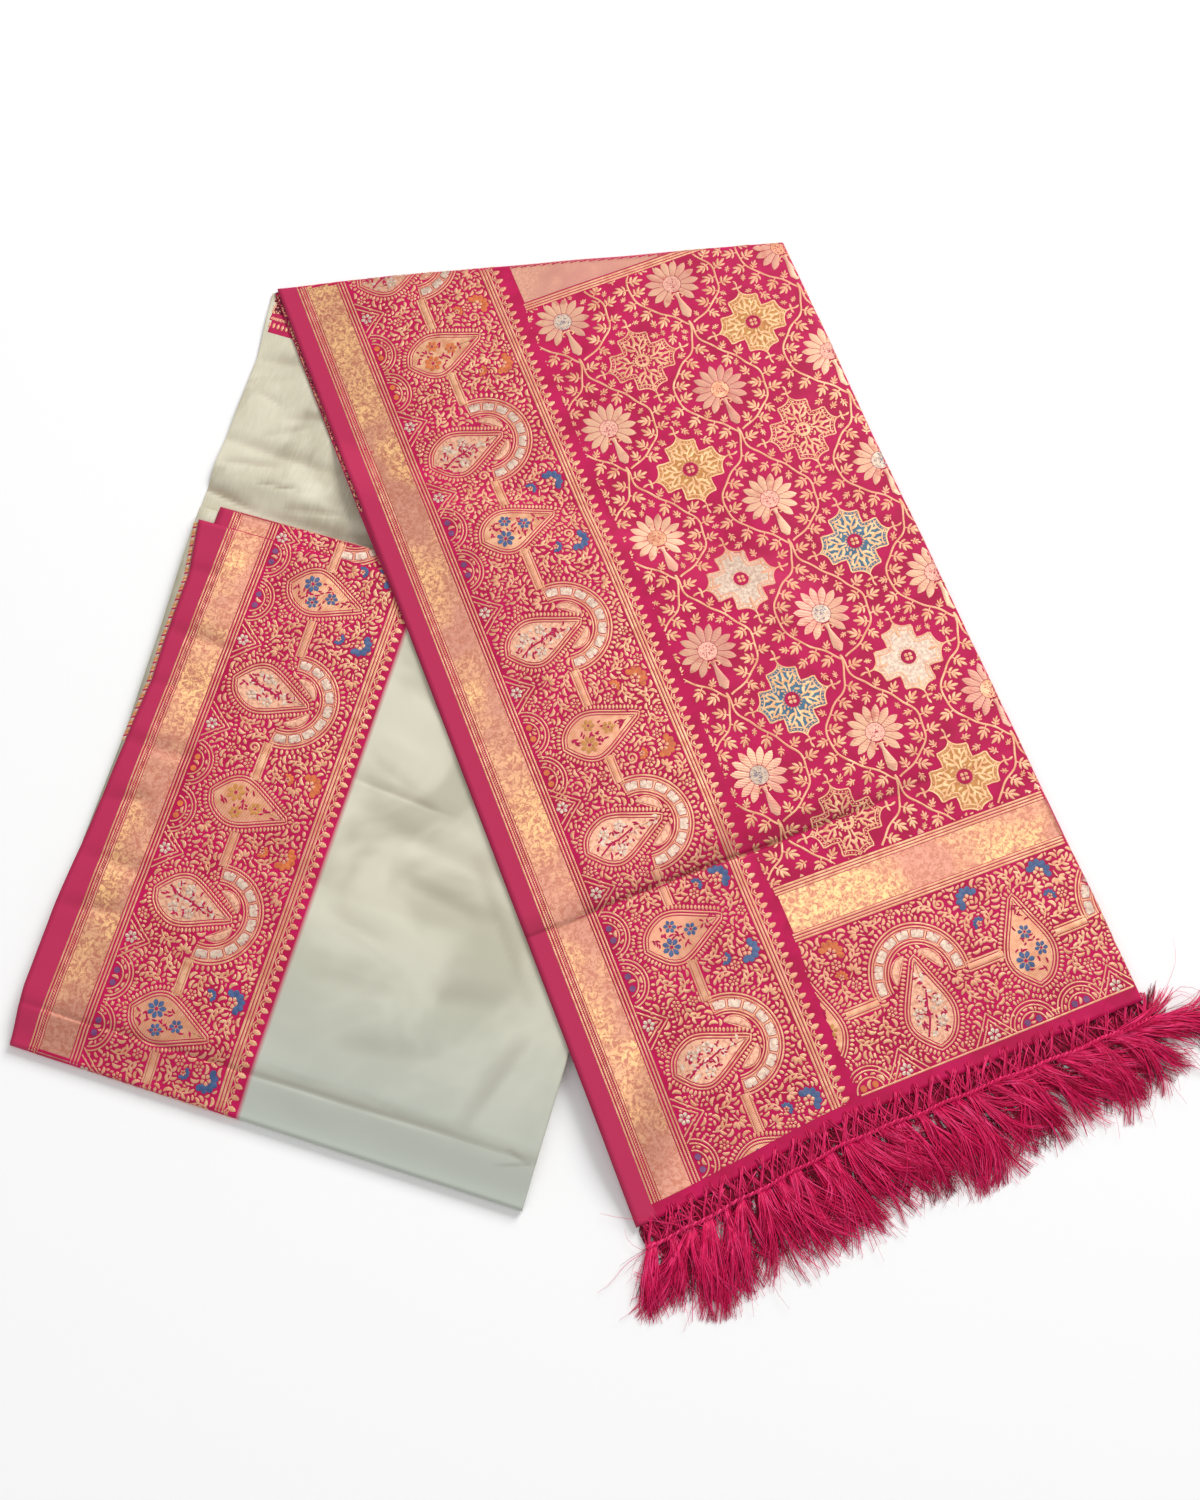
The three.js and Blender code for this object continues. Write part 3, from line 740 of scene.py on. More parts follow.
PALLU_SILK = brocade_silk("pallu_silk", (-0.03, 0.0215))
FACE_SILK = brocade_silk("packet_silk", (-0.04, 0.0175), (0.2385, 0.7))
UNDER_SILK = cloth_material("under_half_silk", ROSE, ROSE_DARK, SILK)[0]
# Painted shade: the cream's large patches of CREAM_SHADE
CREAM_SILK = cloth_material(
    "cream_silk", CREAM, CREAM_DARK, SATIN, scale=14.0, streaks=0.3,
    streak_colour=colour(236, 233, 218), patches=(CREAM_SHADE, 11.0, 0.42, 0.56),
)[0]


def thread_material(name, light, dark, finish=STITCH, **more):
    """Finish of a raised thread: close ribs and fine patches, unless told otherwise."""
    form = {"scale": 130.0, "ribs": 830.0, "slant": 0.7, "depth": 0.0003, **more}
    return cloth_material(name, light, dark, finish, **form)[0]


# Painted sheen: the zari's large dusty rose patches, here and in the threads below
GOLD = thread_material(
    "zari_gold", colour(242, 192, 150), colour(214, 146, 110), ZARI, scale=90.0, lines=0.35,
    ribs=560.0, slant=0.8, patches=(colour(226, 162, 134), 6.0, 0.4, 0.56),
)
PETAL = thread_material(
    "petal_gold", colour(246, 198, 162), colour(212, 130, 112), ZARI, scale=60.0, lines=0.38,
    ribs=130.0, slant=4.6, patches=(colour(230, 168, 146), 7.0, 0.4, 0.56), reach=(0.25, 0.5),
)
THREADS = {
    "gold": GOLD,
    "leaves": GOLD,
    "petals": PETAL,
    "band": thread_material(
        "zari_band", colour(254, 202, 140), colour(196, 122, 98), ZARI, scale=210.0,
        reach=(0.38, 0.62), twist=1.2, patches=(colour(214, 150, 128), 7.0, 0.42, 0.58),
    ),
    # Painted sheen: the band's zari, softer and rosier, as it looks by the slanting fold
    "painted_sheen_band": thread_material(
        "zari_painted_sheen_band", colour(228, 170, 142), colour(212, 146, 126), ZARI, scale=420.0,
        reach=(0.36, 0.62), twist=0.8, patches=(colour(206, 138, 128), 9.0, 0.4, 0.56),
    ),
    "silver": thread_material(
        "silver_thread", colour(228, 174, 143), colour(197, 134, 110), ZARI, scale=260.0,
        reach=(0.36, 0.56),
    ),
    "pale": thread_material(
        "pale_thread", colour(222, 202, 180), colour(194, 160, 144), ZARI, scale=260.0,
    ),
    "blue": thread_material("blue_floss", colour(74, 102, 150), colour(52, 78, 128)),
    "orange": thread_material("orange_floss", colour(232, 120, 48), colour(204, 92, 36)),
    "yellow": thread_material("yellow_floss", colour(216, 146, 62), colour(198, 124, 48)),
    "teal": thread_material("teal_floss", colour(64, 122, 150), colour(46, 98, 130)),
    "bright": thread_material("bright_zari", colour(242, 200, 150), colour(228, 170, 122), ZARI),
    "violet": thread_material("violet_floss", colour(132, 62, 124), colour(104, 46, 104)),
    "rose": thread_material(
        "rose_silver_thread", colour(230, 178, 154), colour(212, 146, 132), ZARI, scale=420.0,
    ),
    "ground": thread_material("ground_thread", MAGENTA, MAGENTA_DARK, SILK),
    # Painted shade: the magenta ground darkened, for the lower half's edge under the upper one and the
    # sliver by the slanting fold
    "shaded_magenta": thread_material("shaded_magenta_thread", colour(120, 12, 48), colour(84, 8, 36), SILK),
}


# Cloths

def pallu_cloth():
    """Upper half of the end piece: a grid, closer by the pressed crease, carried round both
    folds."""
    columns, turn_u = stops(spread(0, PALLU_RIGHT_START, 5), turns_after=ROLL)
    low = np.concatenate([
        spread(-HEM_STRIP, 266, 4), spread(266, 312, 1.2)[1:], spread(312, PALLU_STRAIGHT, 4)[1:],
    ])
    high = spread(PALLU_STRAIGHT, PALLU_TOP_LEFT, 6)[1:]
    rows, turn_v = stops(np.concatenate([low, high]), turns_after=ROLL)
    u, row = np.meshgrid(columns, rows)
    turn_u, turn_v = np.meshgrid(turn_u, turn_v)
    v = pallu_row(u, row)
    points = pallu_fold(u, v, turn_u, turn_v, 0.0)
    radius = 8
    uv = np.stack([u + turn_u * radius, v + turn_v * radius], axis=-1)
    crease = painted_crease_shade(PALLU_CREASES, u, v)
    return new_sheet("pallu_cloth", points, uv, SHELL, PALLU_SILK, crease)


def under_half_cloth():
    """Lower half: a plain grid whose left edge steps out a little towards the top."""
    rows = np.concatenate([
        spread(-HEM_STRIP, PALLU_STRAIGHT, 9), spread(PALLU_STRAIGHT, PALLU_TOP_LEFT - 2.5, 9)[1:],
    ])
    share, row = np.meshgrid(spread(0, 1, 1 / 60), rows)
    left = -(0.8 + 3.2 * smoothstep(row, 640, 800))
    u = left + share * (PALLU_RIGHT_START + 0.4 - left)
    v = pallu_row(u, row)
    points = under_half_surface(u, v, 0.0)
    return new_sheet(
        "pallu_under_cloth", points, np.stack([u, v], axis=-1), 1.3, UNDER_SILK,
    )


def face_cloth():
    """Top stretch of the packet: a grid from its waving selvage to the fold on its right, carried
    round that fold and the one along its foot."""
    right = PACKET_WIDTH - SMALL_ROLL
    share, turn_u = stops(spread(0, 1, 1 / 106), turns_after=SHORT_ROLL)
    rows, turn_v = stops(
        np.concatenate([
            spread(FOOT_RADIUS, 70, 1.8), spread(70, 335, 5)[1:], spread(335, 372, 2)[1:],
            spread(372, FACE_TOP_ALONG, 5)[1:],
        ]),
        turns_before=ROLL[::-1],
    )
    share, v = np.meshgrid(share, rows)
    turn_u, turn_v = np.meshgrid(turn_u, turn_v)
    left = read(FACE_SELVAGE, v)
    u = left + share * (right - left)
    points = face_fold(u, v, turn_u, turn_v, 0.0)
    uv = np.stack([u + turn_u * SMALL_ROLL, v - turn_v * FOOT_RADIUS], axis=-1)
    crease = painted_crease_shade(FACE_CREASES, u, v)
    return new_sheet("packet_face_cloth", points, uv, SHELL, FACE_SILK, crease)


def second_cloth():
    """Second stretch: a flat grid that ends in the turn of its top fold."""
    start = SECOND_TOP_ALONG - SMALL_ROLL
    flat = np.concatenate([spread(8, 520, 32), spread(520, start, 6)[1:]])
    rows = np.concatenate([flat, start + SHORT_ROLL * SMALL_ROLL])
    u, v = np.meshgrid(spread(0, PACKET_WIDTH - SMALL_ROLL - 0.8, 8), rows)
    points = second_surface(u, v, 0.0)
    return new_sheet(
        "packet_second_cloth", points, np.stack([u, v], axis=-1), SHELL, FACE_SILK,
    )


def back_cloth():
    """Stretch below: shares of the way across, closer by its left fold, on rows that lean over to
    the slanting one."""
    share, turn = stops(np.linspace(0, 1, 71) ** 1.15, turns_before=SHORT_ROLL[::-1])
    rows = np.concatenate([spread(BACK_START, 596, 24), spread(596, BACK_END, 3.6)[1:]])
    share, row = np.meshgrid(share, rows)
    turn = np.broadcast_to(turn, share.shape)
    points = back_surface(share, row, turn, 0.0)
    uv = np.stack([share * 520 - turn * 1.5, row], axis=-1)
    crease = painted_crease_shade(BACK_CREASES, *back_place(share, row))
    return new_sheet("back_cloth", points, uv, SHELL, CREAM_SILK, crease)


def folds_cloth():
    """Hidden folds of the packet: a slab whose sides are rows of rounded folds, one for each
    layer, standing out by the sine of the way up the layer."""
    layers = 5
    rows = np.concatenate([[9], spread(14, 50, 6), spread(60, 600, 12)])
    share, v = np.meshgrid(spread(0, 1, 1 / 40), rows)
    left = read(PILE_EDGE, v)
    u = left + share * (PACKET_WIDTH - SMALL_ROLL - 2.2 - left)
    x, y = to_floor(PACKET_FRAME, u, v + packet_skew(u, v))
    top = np.stack([x, y, pile_top(v)], axis=-1)
    bottom = np.stack([x, y, np.full(x.shape, OVER_BODY)], axis=-1)
    count, width = share.shape
    number = np.arange(count * width).reshape(count, width)
    ring = np.concatenate([number[0, :-1], number[:-1, -1], number[-1, :0:-1], number[:0:-1, 0]])
    edge_top = top.reshape(-1, 3)[ring]
    edge_low = bottom.reshape(-1, 3)[ring]
    way = np.roll(edge_top, -1, axis=0) - np.roll(edge_top, 1, axis=0)
    away = unit(-left_of(way))
    steps = layers * 6
    wave = np.arange(len(ring))
    rims = []
    for step in range(1, steps):
        share_up = step / steps
        layer = int(share_up * layers)
        bulge = abs(math.sin(math.pi * share_up * layers)) * 1.5 - 0.8
        drift = 0.35 * np.sin(wave * 0.05 + layer * 2.1)
        rim = edge_low + (edge_top - edge_low) * share_up
        rim[:, :2] += away * (bulge + drift)[:, None]
        rims.append(rim)
    points = np.concatenate([top.reshape(-1, 3), bottom.reshape(-1, 3), *rims])
    total = count * width
    rings = [ring + total]
    rings += [2 * total + len(ring) * k + np.arange(len(ring)) for k in range(steps - 1)]
    rings.append(ring)
    walls = [
        np.stack([low, np.roll(low, -1), np.roll(high, -1), high], axis=-1)
        for low, high in zip(rings[:-1], rings[1:])
    ]
    faces = [grid_faces(count, width), grid_faces(count, width, total)[:, ::-1], *walls]
    flat = np.stack([u, v], axis=-1).reshape(-1, 2)
    rim_uv = [flat[ring] + away * 0.6 * k for k in range(1, steps)]
    uv = np.concatenate([flat, flat, *rim_uv])
    return new_piece("packet_folds_cloth", points, faces, uv, to_unit(uv), CREAM_SILK)


# Fringe

# Length and spacing of the strands on their map, which gives each its own tone
STRAND_RUN = 80
STRAND_PITCH = 7.3


def tubes(paths, radii, sides=3):
    """Closed strands: a polygon carried along each path, square to it, with a cap at both ends.
    paths is strands by stations by 3 and radii is strands by stations."""
    count, stations = paths.shape[:2]
    way = unit(np.gradient(paths, axis=1))
    side = unit(np.stack([-way[..., 1], way[..., 0], np.zeros(way.shape[:2])], axis=-1))
    rise = np.cross(way, side)
    turn = np.arange(sides) * 2 * np.pi / sides + np.pi / 2
    spoke = (
        np.cos(turn)[:, None] * side[:, :, None, :] + np.sin(turn)[:, None] * rise[:, :, None, :]
    )
    points = paths[:, :, None, :] + spoke * radii[:, :, None, None]
    strand, station, corner = np.meshgrid(
        np.arange(count), np.arange(stations - 1), np.arange(sides), indexing="ij",
    )
    base = strand * stations * sides + station * sides
    a = base + corner
    b = base + (corner + 1) % sides
    walls = np.stack([a, b, b + sides, a + sides], axis=-1).reshape(-1, 4)
    first = np.arange(count)[:, None] * stations * sides
    start = first + np.arange(sides)[::-1]
    end = first + (stations - 1) * sides + np.arange(sides)
    cells = math.ceil(math.sqrt(count))
    place = np.arange(count)
    cell = np.stack([place % cells, place // cells], axis=-1)[:, None, None, :]
    inside = np.stack(np.broadcast_arrays(
        (np.arange(sides) / sides)[None, None, :], np.linspace(0, 1, stations)[None, :, None],
    ), axis=-1)
    bake = (cell + 0.1 + 0.8 * inside) / cells
    length = np.linspace(0, STRAND_RUN, stations)
    cloth = np.stack(np.broadcast_arrays(
        (place * STRAND_PITCH)[:, None, None], length[None, :, None] + np.zeros((1, 1, sides)),
    ), axis=-1)
    return (
        points.reshape(-1, 3), [walls, np.concatenate([start, end])],
        np.broadcast_to(cloth, (count, stations, sides, 2)).reshape(-1, 2),
        np.broadcast_to(bake, (count, stations, sides, 2)).reshape(-1, 2),
    )


def fringe_place(u, below, z):
    """Point of the fringe: u across the strip, its distance below the hem, and its height."""
    u, below, z = np.broadcast_arrays(u, below, z)
    x, y = to_floor(PALLU_FRAME, u, hem_lift(u, 0.0) - HEM_STRIP - below)
    return np.stack([x, y, z], axis=-1)


def tassel_strands(seed, per_tassel, level, share, height, radius):
    """Strands of every tassel: each starts in a small patch by the cord and runs out along its
    tassel's lay, with its own bend and a slight wave, over a low hump and down to the floor."""
    rng = np.random.default_rng(seed)
    centre = (np.arange(TASSELS) + 0.5) * TASSEL_PITCH
    shape = (TASSELS, per_tassel)
    lay = np.radians(math.degrees(PALLU_FRAME[2]) - 90 + read(TASSEL_LAY, centre, 1))[:, None]
    reach = read(TASSEL_LAY, centre, 2)[:, None] * share
    lock = rng.integers(0, LOCKS, shape)
    tables = rng.normal(0, 1, (5, TASSELS, LOCKS))
    own = [np.take_along_axis(table, lock, axis=1) for table in tables]
    offset = own[0] * 2.5 + rng.normal(0, 0.9, shape)
    swing = rng.normal(0, 0.2, (TASSELS, 1)) + own[1] * 0.18 + offset * 0.02
    swing = swing + rng.normal(0, 0.045, shape)
    bend = rng.normal(0, 0.2, (TASSELS, 1)) + own[2] * 0.3 + rng.normal(0, 0.08, shape)
    size = rng.normal(0.88, 0.1, (TASSELS, 1))
    full = reach * np.clip(size + 0.15 * own[3] + rng.normal(0, 0.08, shape), 0.42, 1.12)
    stray = rng.random(shape) < 0.09
    swing = swing + stray * rng.normal(0, 0.5, shape)
    full = full * (1 + stray * 0.12)
    stations = 8
    t = np.linspace(0, 1, stations)[None, None, :]
    root = fringe_place(
        centre[:, None] + offset, NET_DROP + rng.uniform(-2.5, 2.5, shape),
        level + rng.uniform(-0.6, 1.0, shape),
    )
    heading = (lay + swing)[..., None] + bend[..., None] * t ** 1.5 * 1.6
    wave = (own[4] * 1.5 + rng.normal(0, 0.7, shape))[..., None] * np.sin(
        t * np.pi * (2.4 + own[0][..., None] * 0.5) + own[1][..., None] * 3
    ) * t
    step = full[..., None] / (stations - 1)
    steps = np.stack([np.cos(heading), np.sin(heading)]) * step
    steps[..., 0] = 0
    dx, dy = np.cumsum(steps, axis=-1)
    x = root[..., 0:1] + dx - np.sin(heading) * wave
    y = root[..., 1:2] + dy + np.cos(heading) * wave
    hump = rng.uniform(0.1, 1, shape)[..., None] * height
    z = root[..., 2:3] * (1 - t) + 0.9 * t + hump * np.sin(np.pi * np.clip(t * 1.05, 0, 1)) ** 1.2
    z = np.maximum(z + stray[..., None] * 2.5 * t, 0.75)
    paths = np.stack([x, y, z], axis=-1).reshape(-1, stations, 3)
    thick = rng.uniform(0.6, 1.15, shape)[..., None] * radius * np.where(stray, 0.45, 1)[..., None]
    radii = thick * (1 - 0.65 * t ** 2)
    return paths, np.broadcast_to(radii, (*shape, stations)).reshape(-1, stations)


def net_strands(seed, level, per_bundle):
    """Bundles that cross between the hem and the cord, each a few strands side by side."""
    rng = np.random.default_rng(seed)
    centre = ((np.arange(TASSELS) + 0.5) * TASSEL_PITCH)[:, None, None, None]
    side = np.array([-1.0, 1.0])[None, :, None, None]
    strand = np.linspace(-1, 1, per_bundle)[None, None, :, None]
    stations = 7
    t = np.linspace(0, 1, stations)[None, None, None, :]
    shape = (TASSELS, 2, per_bundle, 1)
    start = centre + side * TASSEL_PITCH * 0.46
    end = centre - side * TASSEL_PITCH * 0.16
    u = start + (end - start) * smoothstep(t, 0, 1) + strand * (2.1 - 1.2 * np.sin(np.pi * t))
    u = u + rng.normal(0, 0.5, shape) + rng.normal(0, 2.2, (TASSELS, 2, 1, 1)) * np.sin(np.pi * t)
    u = u + rng.normal(0, 2.6, (TASSELS, 2, 1, 1))
    below = -8 + (NET_DROP + 9) * t + rng.normal(0, 0.9, shape)
    lift = 1.3 * np.sin(np.pi * t) * (1 + 0.8 * side) + rng.normal(0, 0.25, shape)
    z = level + 1.15 + lift - 0.9 * t
    paths = fringe_place(u, below, z).reshape(-1, stations, 3)
    radii = np.broadcast_to(rng.uniform(0.55, 0.85, shape), (TASSELS, 2, per_bundle, stations))
    return paths, radii.reshape(-1, stations)


def web_strands(seed, level, count):
    """Loose strands of the net, from a random place by the hem to another by the cord."""
    rng = np.random.default_rng(seed)
    stations = 6
    t = np.linspace(0, 1, stations)[None, :]
    start = rng.uniform(3, PALLU_WIDTH - 3, (count, 1))
    end = np.clip(start + rng.normal(0, 12, (count, 1)), 3, PALLU_WIDTH - 3)
    u = start + (end - start) * t + rng.normal(0, 2.6, (count, 1)) * np.sin(np.pi * t)
    below = rng.uniform(-5, 6, (count, 1)) * (1 - t)
    below = below + rng.uniform(NET_DROP - 6, NET_DROP + 12, (count, 1)) * t
    z = level + rng.uniform(-0.4, 0.9, (count, 1))
    z = z + rng.uniform(0, 1.2, (count, 1)) * np.sin(np.pi * t)
    radii = np.broadcast_to(rng.uniform(0.45, 0.95, (count, 1)), (count, stations))
    return fringe_place(u, below, z), radii


def cord_strands(level, radius, wander):
    """Two plies wound round one another along the foot of the net."""
    turns = 62
    t = np.linspace(0, 1, turns * 7)
    u = 1 + t * (PALLU_WIDTH - 3)
    drift = wander * (np.sin(u * 0.11) + 0.6 * np.sin(u * 0.043 + 1))
    plies = []
    for phase in (0, math.pi):
        spin = t * turns * 2 * math.pi + phase
        below = NET_DROP + drift + radius * np.cos(spin)
        plies.append(fringe_place(u, below, level + radius * np.sin(spin)))
    paths = np.stack(plies)
    return paths, np.full(paths.shape[:2], radius * 1.05)


def floss_material(name, bright, mid, dark):
    """Silk floss: every strand has its own tone, in a satin sheen."""
    material, tree, principled = new_material(name, FLOSS)
    stretch = add_node(tree, "ShaderNodeMapping", {
        "Vector": cloth_place(tree), "Scale": (211.0, 22.0, 1.0),
    })
    noise = add_node(tree, "ShaderNodeTexNoise", {
        "Vector": stretch.outputs[0], "Scale": 1.0, "Detail": 2.0,
    })
    ramp = add_node(tree, "ShaderNodeValToRGB", {"Fac": noise.outputs["Fac"]})
    stops_of_ramp = ramp.color_ramp.elements
    for stop, place, tone in ((0, 0.34, dark), (1, 0.66, bright)):
        stops_of_ramp[stop].position = place
        stops_of_ramp[stop].color = tone
    stops_of_ramp.new(0.5).color = mid
    feed(tree, principled, {"Base Color": ramp.outputs["Color"]})
    return material


TASSEL_FLOSS = floss_material(
    "fringe_floss", colour(255, 78, 146), colour(238, 24, 102), colour(172, 0, 62),
)
NET_FLOSS = floss_material(
    "net_floss", colour(248, 70, 132), colour(226, 34, 100), colour(172, 10, 68),
)
# Painted shade: the same floss darker, for the lower half's fringe and the strands beneath the net
SHADED_FLOSS = floss_material(
    "shaded_floss", colour(196, 14, 72), colour(156, 4, 54), colour(104, 0, 34),
)


def strand_piece(name, strands, sides, material):
    """One piece of the fringe from its strands."""
    points, faces, cloth, bake = tubes(*strands, sides=sides)
    return new_piece(name, points, faces, cloth, bake, material)


# Brocade: places on a cloth in mm, gathered by thread

LOWEST_THREAD = 0.05


def smooth_line(points, count):
    """Catmull-Rom curve through points, sampled count times."""
    points = np.asarray(points, float)
    padded = np.concatenate([2 * points[:1] - points[1:2], points, 2 * points[-1:] - points[-2:-1]])
    place = np.linspace(0, len(points) - 1, count)
    first = np.minimum(place.astype(int), len(points) - 2)
    t = (place - first)[:, None]
    a, b, c, d = (padded[first + k] for k in range(4))
    return 0.5 * (
        2 * b + (c - a) * t + (2 * a - 5 * b + 4 * c - d) * t ** 2
        + (3 * b - a - 3 * c + d) * t ** 3
    )


def even_line(points, step):
    """The same line with its places an even step apart."""
    points = np.asarray(points, float)
    run = np.concatenate([[0], np.cumsum(np.hypot(*np.diff(points, axis=0).T))])
    where = np.linspace(0, run[-1], max(2, int(round(run[-1] / step)) + 1))
    return np.stack([np.interp(where, run, points[:, k]) for k in (0, 1)], axis=-1)


def even_loop(loop, step):
    """A closed line with its places an even step apart."""
    return even_line(np.concatenate([loop, loop[:1]]), step)[:-1]


def outward(loop):
    """Unit vectors square to a closed loop, away from its inside."""
    way = np.roll(loop, -1, axis=0) - np.roll(loop, 1, axis=0)
    away = unit(-left_of(way))
    following = np.roll(loop, -1, axis=0)
    area = np.sum(loop[:, 0] * following[:, 1] - loop[:, 1] * following[:, 0])
    return away * np.sign(area)


def ring(radius, start=0, end=360, step=8):
    """Places on part of a circle round the origin, between two angles in degrees."""
    angle = np.radians(np.linspace(start, end, max(3, int(abs(end - start) / step) + 1)))
    return radius * np.stack([np.cos(angle), np.sin(angle)], axis=-1)


def leaves(starts, headings, lengths, widths, curls=0.0, count=5, belly=1.0):
    """Leaves and petals: centre lines that bend evenly by curl radians from root to tip, and half
    widths that follow the sine of the way along, raised to make the belly lie near the tip."""
    starts = np.atleast_2d(np.asarray(starts, float))
    full = np.broadcast_arrays(starts[:, 0], headings, lengths, widths, curls)
    headings, lengths, widths, curls = (np.asarray(part, float)[:, None] for part in full[1:])
    t = np.linspace(0, 1, count)[None, :]
    way = headings + curls * (t - 0.5)
    step = lengths / (count - 1)
    path = np.cumsum(np.stack([np.cos(way), np.sin(way)], axis=-1) * step[..., None], axis=1)
    path = path - path[:, :1] + starts[:, None, :]
    halves = widths / 2 * np.sin(np.pi * (0.05 + 0.9 * t) ** belly) ** 0.7
    return path, halves


def flower(radius, petals, core=0.24, turn=0.0, count=5, gap=0.86):
    """Petals round the origin, as wide as their share of the circle allows."""
    angle = turn + np.arange(petals) * 2 * np.pi / petals
    start = np.stack([np.cos(angle), np.sin(angle)], axis=-1) * radius * core
    width = 2 * np.sin(np.pi / petals) * radius * 0.72 * gap
    return leaves(start, angle, radius * (1 - core), width, 0.0, count, belly=1.35)


def turned(points, angle):
    """Places turned about the origin."""
    c, s = math.cos(angle), math.sin(angle)
    x, y = points[..., 0], points[..., 1]
    return np.stack([x * c - y * s, x * s + y * c], axis=-1)


class Brocade:
    """Threads woven into one cloth. Every part is points in the cloth's own axes, how far each
    stands off the cloth, and faces between them."""

    def __init__(self, surface, inside, crease_table=(), edge=None):
        self.surface = surface
        self.inside = inside
        self.edge = edge
        self.crease_table = crease_table
        self.parts = {}
        self.counts = {}

    def gather(self, thread, points, lifts, faces):
        """Adds a part to what one thread has so far."""
        first = self.counts.get(thread, 0)
        self.parts.setdefault(thread, []).append((points, lifts, faces + first))
        self.counts[thread] = first + len(points)

    def strips(self, thread, lines, halves, lift=0.12, crown=0.3):
        """Ribbons from lines of places and half widths, a little higher along the middle."""
        lines = np.asarray(lines, float)
        if lines.ndim == 2:
            lines = lines[None]
        halves = np.broadcast_to(halves, lines.shape[:2])
        side = left_of(unit(np.gradient(lines, axis=1))) * halves[..., None]
        points = np.stack([lines + side, lines, lines - side], axis=2)
        middle = lift + crown * np.minimum(halves, 1.5)
        lifts = np.stack([np.full(halves.shape, lift), middle, np.full(halves.shape, lift)], axis=-1)
        count, stations = halves.shape
        one = grid_faces(stations, 3)
        faces = one[None] + (np.arange(count) * stations * 3)[:, None, None]
        self.gather(thread, points.reshape(-1, 2), lifts.ravel(), faces.reshape(-1, 4))

    def field(self, thread, outline, centre, rings=4, lift=0.06):
        """Filled ground: rings between a centre and an outline."""
        outline = np.asarray(outline, float)
        following = np.roll(outline, -1, axis=0)
        if np.sum(outline[:, 0] * following[:, 1] - outline[:, 1] * following[:, 0]) < 0:
            outline = outline[::-1]
        centre = np.asarray(centre, float)
        shares = np.linspace(0, 1, rings + 1)[1:]
        points = centre + (outline - centre)[None] * shares[:, None, None]
        points = np.concatenate([centre[None], points.reshape(-1, 2)])
        count = len(outline)
        place = np.arange(count)
        nxt = np.roll(place, -1)
        tips = np.stack([np.zeros(count, int), 1 + place, 1 + nxt, 1 + nxt], axis=-1)
        rows = [tips]
        for k in range(rings - 1):
            low, high = 1 + k * count, 1 + (k + 1) * count
            rows.append(np.stack([low + place, high + place, high + nxt, low + nxt], axis=-1))
        self.gather(thread, points, np.full(len(points), lift), np.concatenate(rows))

    def taken(self, low, size, cell, gap):
        """Which cells of a sheet are covered so far, grown by a gap: every face is sampled on a
        small grid of its own."""
        covered = np.zeros((int(size[1] / cell), int(size[0] / cell)), bool)
        steps = (np.arange(8) + 0.5) / 8
        s, t = (part.ravel()[None, :, None] for part in np.meshgrid(steps, steps))
        for parts in self.parts.values():
            for points, _, faces in parts:
                corner = points[faces - faces.min()][:, :, None, :]
                spots = (
                    corner[:, 0] * (1 - s) * (1 - t) + corner[:, 1] * s * (1 - t)
                    + corner[:, 2] * s * t + corner[:, 3] * (1 - s) * t
                )
                where = ((spots.reshape(-1, 2) - low) / cell).astype(int)
                fine = np.all((where >= 0) & (where < covered.shape[::-1]), axis=1)
                covered[where[fine, 1], where[fine, 0]] = True
        for _ in range(int(round(gap / cell))):
            grown = covered.copy()
            grown[1:] |= covered[:-1]
            grown[:-1] |= covered[1:]
            grown[:, 1:] |= covered[:, :-1]
            grown[:, :-1] |= covered[:, 1:]
            covered = grown
        return covered

    def pieces(self, name, threads):
        """One piece a thread, with what lies off the cloth left out and what crosses its edge
        drawn back to it."""
        made = []
        for thread, parts in self.parts.items():
            points = np.concatenate([part[0] for part in parts])
            lifts = np.concatenate([part[1] for part in parts])
            faces = np.concatenate([part[2] for part in parts])
            if self.edge:
                drawn = self.edge(points)
                crossed = np.any(drawn != points, axis=1)
                faces = faces[~crossed[faces].all(axis=1)]
                points = drawn
            faces = faces[self.inside(points)[faces].all(axis=1)]
            if not len(faces):
                continue
            used, packed = np.unique(faces, return_inverse=True)
            faces = packed.reshape(-1, 4)
            uv = points[used]
            place = self.surface(uv[:, 0], uv[:, 1], lifts[used])
            place[:, 2] = np.maximum(place[:, 2], LOWEST_THREAD)
            flat = faces[:, 2] == faces[:, 3]
            shapes = [part for part in (faces[~flat], faces[flat][:, :3]) if len(part)]
            # Each piece carries the crease depth for its painted crease shade
            made.append(new_piece(
                name + "_" + thread, place, shapes, uv, to_unit(uv), threads[thread],
                painted_crease_shade(self.crease_table, uv[:, 0], uv[:, 1]),
            ))
        return made


# Motifs, in a border's own axes: x away from the selvage, y along the border

DROP = np.concatenate([
    smooth_line([(0, 0), (4, 12), (13, 21), (26, 26.5), (40, 25), (60, 17.5), (83, 9)], 26)[:-1],
    smooth_line([
        (83, 9), (66, -1.5), (50, -11.5), (38, -18), (28, -20.5), (17, -17), (7, -8), (0, 0),
    ], 26)[:-1],
])
DROP_MIDDLE = np.array([32.0, 3.0])


def grow(loop, distance):
    """A loop moved outwards by a distance."""
    return loop + outward(loop) * distance


def beads(cloth, thread, place, loop, step, length, width, lift=0.12):
    """Row of small leaves that stand out square from a loop."""
    path = even_loop(loop, step)
    away = outward(path)
    lines, halves = leaves(path, np.arctan2(away[:, 1], away[:, 0]), length, width, 0.0, 4)
    cloth.strips(thread, place(lines), halves, lift)


def closed(loop):
    """A loop that runs on over its first places, so that its ribbon has no gap."""
    return np.concatenate([loop, loop[:2]])


# Place, radius and number of petals of the flowers in a drop
DROP_FLOWERS = [((24, -5), 9.5, 7), ((30, 15), 6.6, 6), ((49, 6), 6.8, 6)]
SILVER_FLOWERS = [((22, 12), 5.6, 5), ((40, 15), 5.6, 5), ((34, -9), 5.6, 5)]
DROP_STEM = [(12, -8), (26, 0), (36, 2), (52, 8)]


